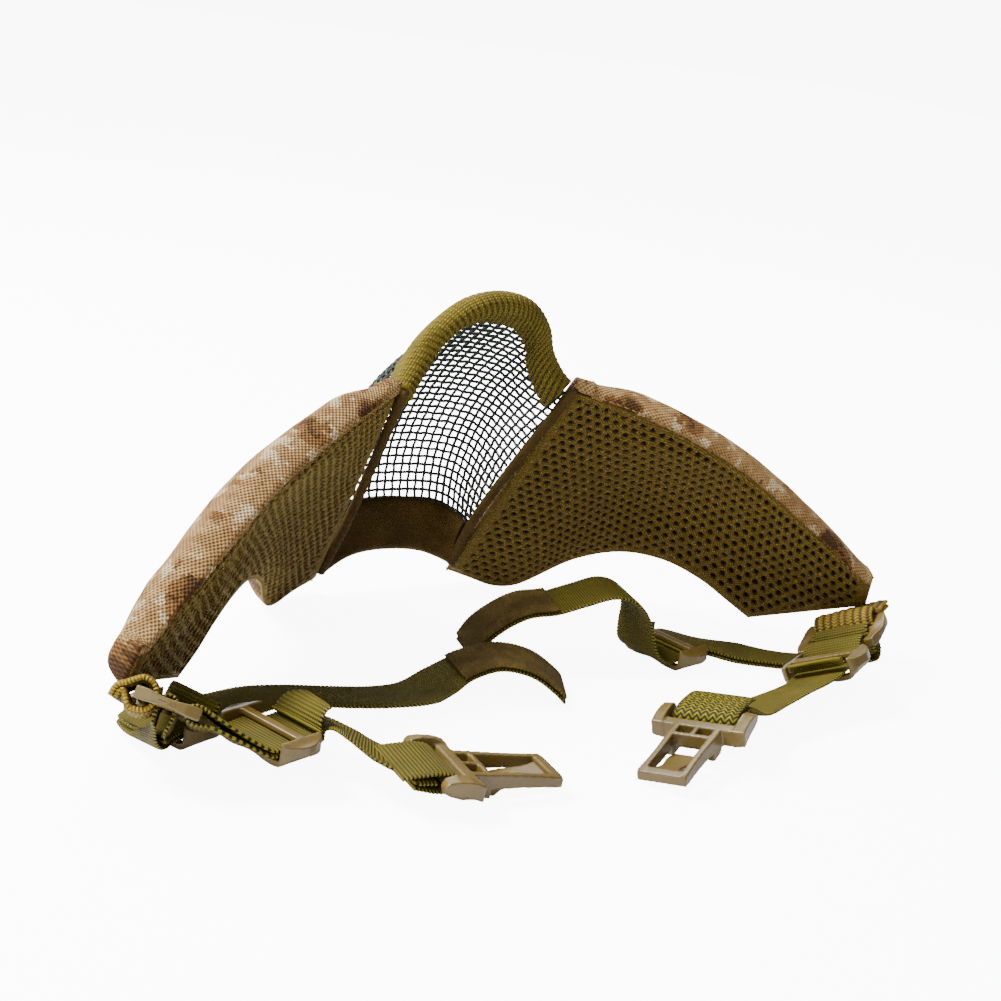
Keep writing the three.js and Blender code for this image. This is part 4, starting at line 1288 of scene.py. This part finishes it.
def bar_wrap(clip):
    """A strap end turned round the clip's strap bar and sewn back on itself."""
    radius = BAR_RADIUS + GAP + WEB_THICKNESS / 2 + 0.15
    angle = np.linspace(math.pi / 2, -math.pi / 2, 24)
    top = [(-13.5, 1.0), (-11, 1.75), (-7.5, 2.25), (-3.5, radius + 0.25)]
    bottom = [(-3.5, -radius), (-7, -1.9), (-9.5, -1.5)]
    turn = [(radius * math.cos(a), radius * math.sin(a)) for a in angle]
    outline = Curve([(x, 0, z) for x, z in top + turn[::4] + bottom]).along(np.linspace(0, 1, 120))
    points = np.array([in_frame(clip, x, 0, z) for x, _, z in outline])
    return points, np.tile(buckle_frame(clip)[1], (len(points), 1))


# ---------------------------------------------------------------- moulded plastic
def moulded(name, node, body, layout, reshape=None):
    """A CAD buckle with its edges softened as moulding leaves them."""
    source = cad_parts[node]
    obj = new_object(name, source.data.copy(), "plastic")
    remesh = obj.modifiers.new("Remesh", "REMESH")
    remesh.mode = "VOXEL"
    remesh.voxel_size = VOXEL * MM
    soften = obj.modifiers.new("Smooth", "SMOOTH")
    soften.factor = 0.5
    soften.iterations = 5
    applied(obj)
    if reshape is not None:
        mesh = obj.data
        flat = np.zeros(len(mesh.vertices) * 3)
        mesh.vertices.foreach_get("co", flat)
        axes = buckle_frame(layout)
        local = (flat.reshape(-1, 3) / MM - SHIFT - layout["at"]) @ axes.T
        local = reshape(local)
        back = (local @ axes + layout["at"] + SHIFT) * MM
        mesh.vertices.foreach_set("co", back.ravel())
        mesh.update()
    obj.data.materials.clear()
    obj.data.materials.append(FINISH["plastic"])
    settle(obj, body, "tan_plastic", node)


def upturned(local):
    """Slim rounded ends on an adjuster, turned up, and rails that wave along their length."""
    x, y, z = local.T
    reach = smooth_step(np.abs(y), 10.2, 14.5)
    z = z * (1 - 0.6 * reach) + 1.9 * reach
    z = z + 0.4 * np.cos(y / 2.4) * (1 - reach) * (z < 1)
    x = x * (1 - 0.32 * reach**2)
    return np.stack([x, y, z], -1)


def hollowed_ring(local):
    """Ends of the ring with shallow hollows between the bars."""
    x, y, z = local.T
    reach = smooth_step(np.abs(y), 11, 14)
    dish = 0.35 * reach * np.cos(x * math.pi / RING_HALF_PITCH)
    return np.stack([x, y, z - np.sign(z) * dish], -1)


def waved_clip(local):
    """Frame rails with a slight waist, and ears that are thinner and higher than in CAD."""
    x, y, z = local.T
    waist = 0.35 * np.sin(np.clip((x - 14) / 20, 0, 1) * math.pi)
    y = y - np.sign(y) * waist * smooth_step(np.abs(y), 4, 7)
    ear = smooth_step(np.abs(y), 10.5, 14.5) * (1 - smooth_step(x, 3, 11))
    z = z * (1 - 0.42 * ear) + 0.9 * ear
    return np.stack([x, y, z], -1)


# ---------------------------------------------------------------- harness pieces
def harness(name, layout):
    """All that hangs from one wing: its tape, ring, straps, adjusters and clip."""
    ring, clip = layout["ring"], layout["clip"]
    clip_adjuster, elastic_adjuster = layout["clip_adjuster"], layout["elastic_adjuster"]
    body = f"{name}_harness"
    rail = in_frame(ring, -RING_HALF_PITCH, 0, 0)
    path, turned = doubled_path(
        [layout["tape_start"], rail - unit(ring["run"]) * 5, rail],
        [layout["tape_side"], ring["bars"], ring["bars"]],
        TAPE_WRAP,
    )
    tape = band_object(
        f"{name}_ribbed_tape", path, turned, "tape", TAPE_THICKNESS, TAPE_WIDTH, TAPE_RIB, TAPE_RIBS
    )
    settle(tape, f"{name}_cheek", "ribbed_tape", f"{name}_end_loop")

    near_rail = in_frame(ring, RING_HALF_PITCH + 4, 0, 0)
    loop = ring_loop(layout, clip_adjuster, 1, [near_rail])
    settle(band_object(f"{name}_web_band", *loop, "webbing"), body, "webbing", f"{name}_web_loop")

    under = in_frame(ring, 0, 0, -layout["drop"])
    rise = [np.array(p, float) for p in layout["elastic_rise"]] + [under]
    loop = ring_loop(layout, elastic_adjuster, 0, rise)
    band = band_object(f"{name}_elastic_band", *loop, "elastic", rib=ELASTIC_RIB)
    settle(band, body, "elastic", f"{name}_elastic_loop")

    bars = clip["bars"] * np.sign(clip["bars"] @ clip_adjuster["bars"])
    at_clip = [in_frame(clip, x, 0, 0) for x in (-9, -5, -BAR_RADIUS - GAP)]
    points, sides = strap_route(
        clip_adjuster, layout["clip_strap"] + at_clip, layout["clip_sides"] + [bars] * 3
    )
    path = ribbon_path(points, sides, 0, CLIP_STRAP_END)
    strap = band_object(f"{name}_clip_web", *path, "webbing")
    settle(strap, body, "webbing", f"{name}_clip_strap")
    if name == "left":
        cut_tail("left_clip_tail", body, points, sides, TAIL_BEGIN + LEFT_CLIP_TAIL_SHIFT)
    else:
        cut_tail("right_clip_tail", "right_clip_slider", points, sides)
    wrap = band_object(f"{name}_clip_wrap", *bar_wrap(clip), layout["wrap_finish"])
    settle(wrap, body, "webbing")

    points, sides = strap_route(
        elastic_adjuster, layout["elastic_strap"], layout["elastic_sides"]
    )
    line, turned = ribbon_path(points, sides)
    strap = band_object(f"{name}_elastic_web", line, turned, "elastic", rib=ELASTIC_RIB)
    settle(strap, body, "elastic", f"{name}_elastic_strap")
    if name == "left":
        cut_tail("left_elastic_tail", "left_elastic_slider", points, sides)
    lift = (WEB_THICKNESS + PATCH_THICKNESS) / 2 + 0.5 * GAP
    patch_line = ribbon_path(points, sides, layout["patch_from"], PATCH_END, lift)
    patch = band_object(
        f"{name}_hook_tape", *patch_line, "hook", PATCH_THICKNESS, WEB_WIDTH - 0.6, HOOK_RIB
    )
    settle(patch, body, "hook_tape", f"{name}_hook_patch")
    length = float(run_of(line)[-1])
    if length > CORD_WIDTHS * WEB_WIDTH:
        path = ((line + SHIFT) * MM).tolist()

    moulded(f"{name}_three_bar_ring", f"{name}_end_ring", body, ring, hollowed_ring)
    for line_name, adjuster in (("clip", clip_adjuster), ("elastic", elastic_adjuster)):
        slider = f"{name}_{line_name}_slider"
        moulded(slider, f"{name}_{line_name}_adjuster", slider, adjuster, upturned)
    moulded(f"{name}_helmet_clip", f"{name}_rail_clip", f"{name}_clip", clip, waved_clip)
    moulded(f"{name}_spring_tongue", f"{name}_clip_tongue", f"{name}_tongue", clip)


# ---------------------------------------------------------------- floor
def make_floor():
    corners = [(-1, -1, 0), (1, -1, 0), (1, 1, 0), (-1, 1, 0)]
    mesh = bpy.data.meshes.new("floor")
    mesh.from_pydata([Vector(corner) * FLOOR_REACH for corner in corners], [], [(0, 1, 2, 3)])
    mesh.materials.append(floor_material())
    floor = bpy.data.objects.new("floor", mesh)
    bpy.context.scene.collection.objects.link(floor)


# ---------------------------------------------------------------- the scene
make_camera()
for side_name, side_layout in HARNESS.items():
    harness(side_name, side_layout)
woven_face()
binding = edge_band("ribbed_nose_binding", "knit", "knit_binding", "nose_binding", True)
edge_band("smooth_chin_band", "chin", "chin_knit", "chin_band", False)
fold_rolls()
pad_movement = coarse_wing()
wing("right", 1, pad_movement)
wing("left", -1, pad_movement)
make_floor()
make_lights()
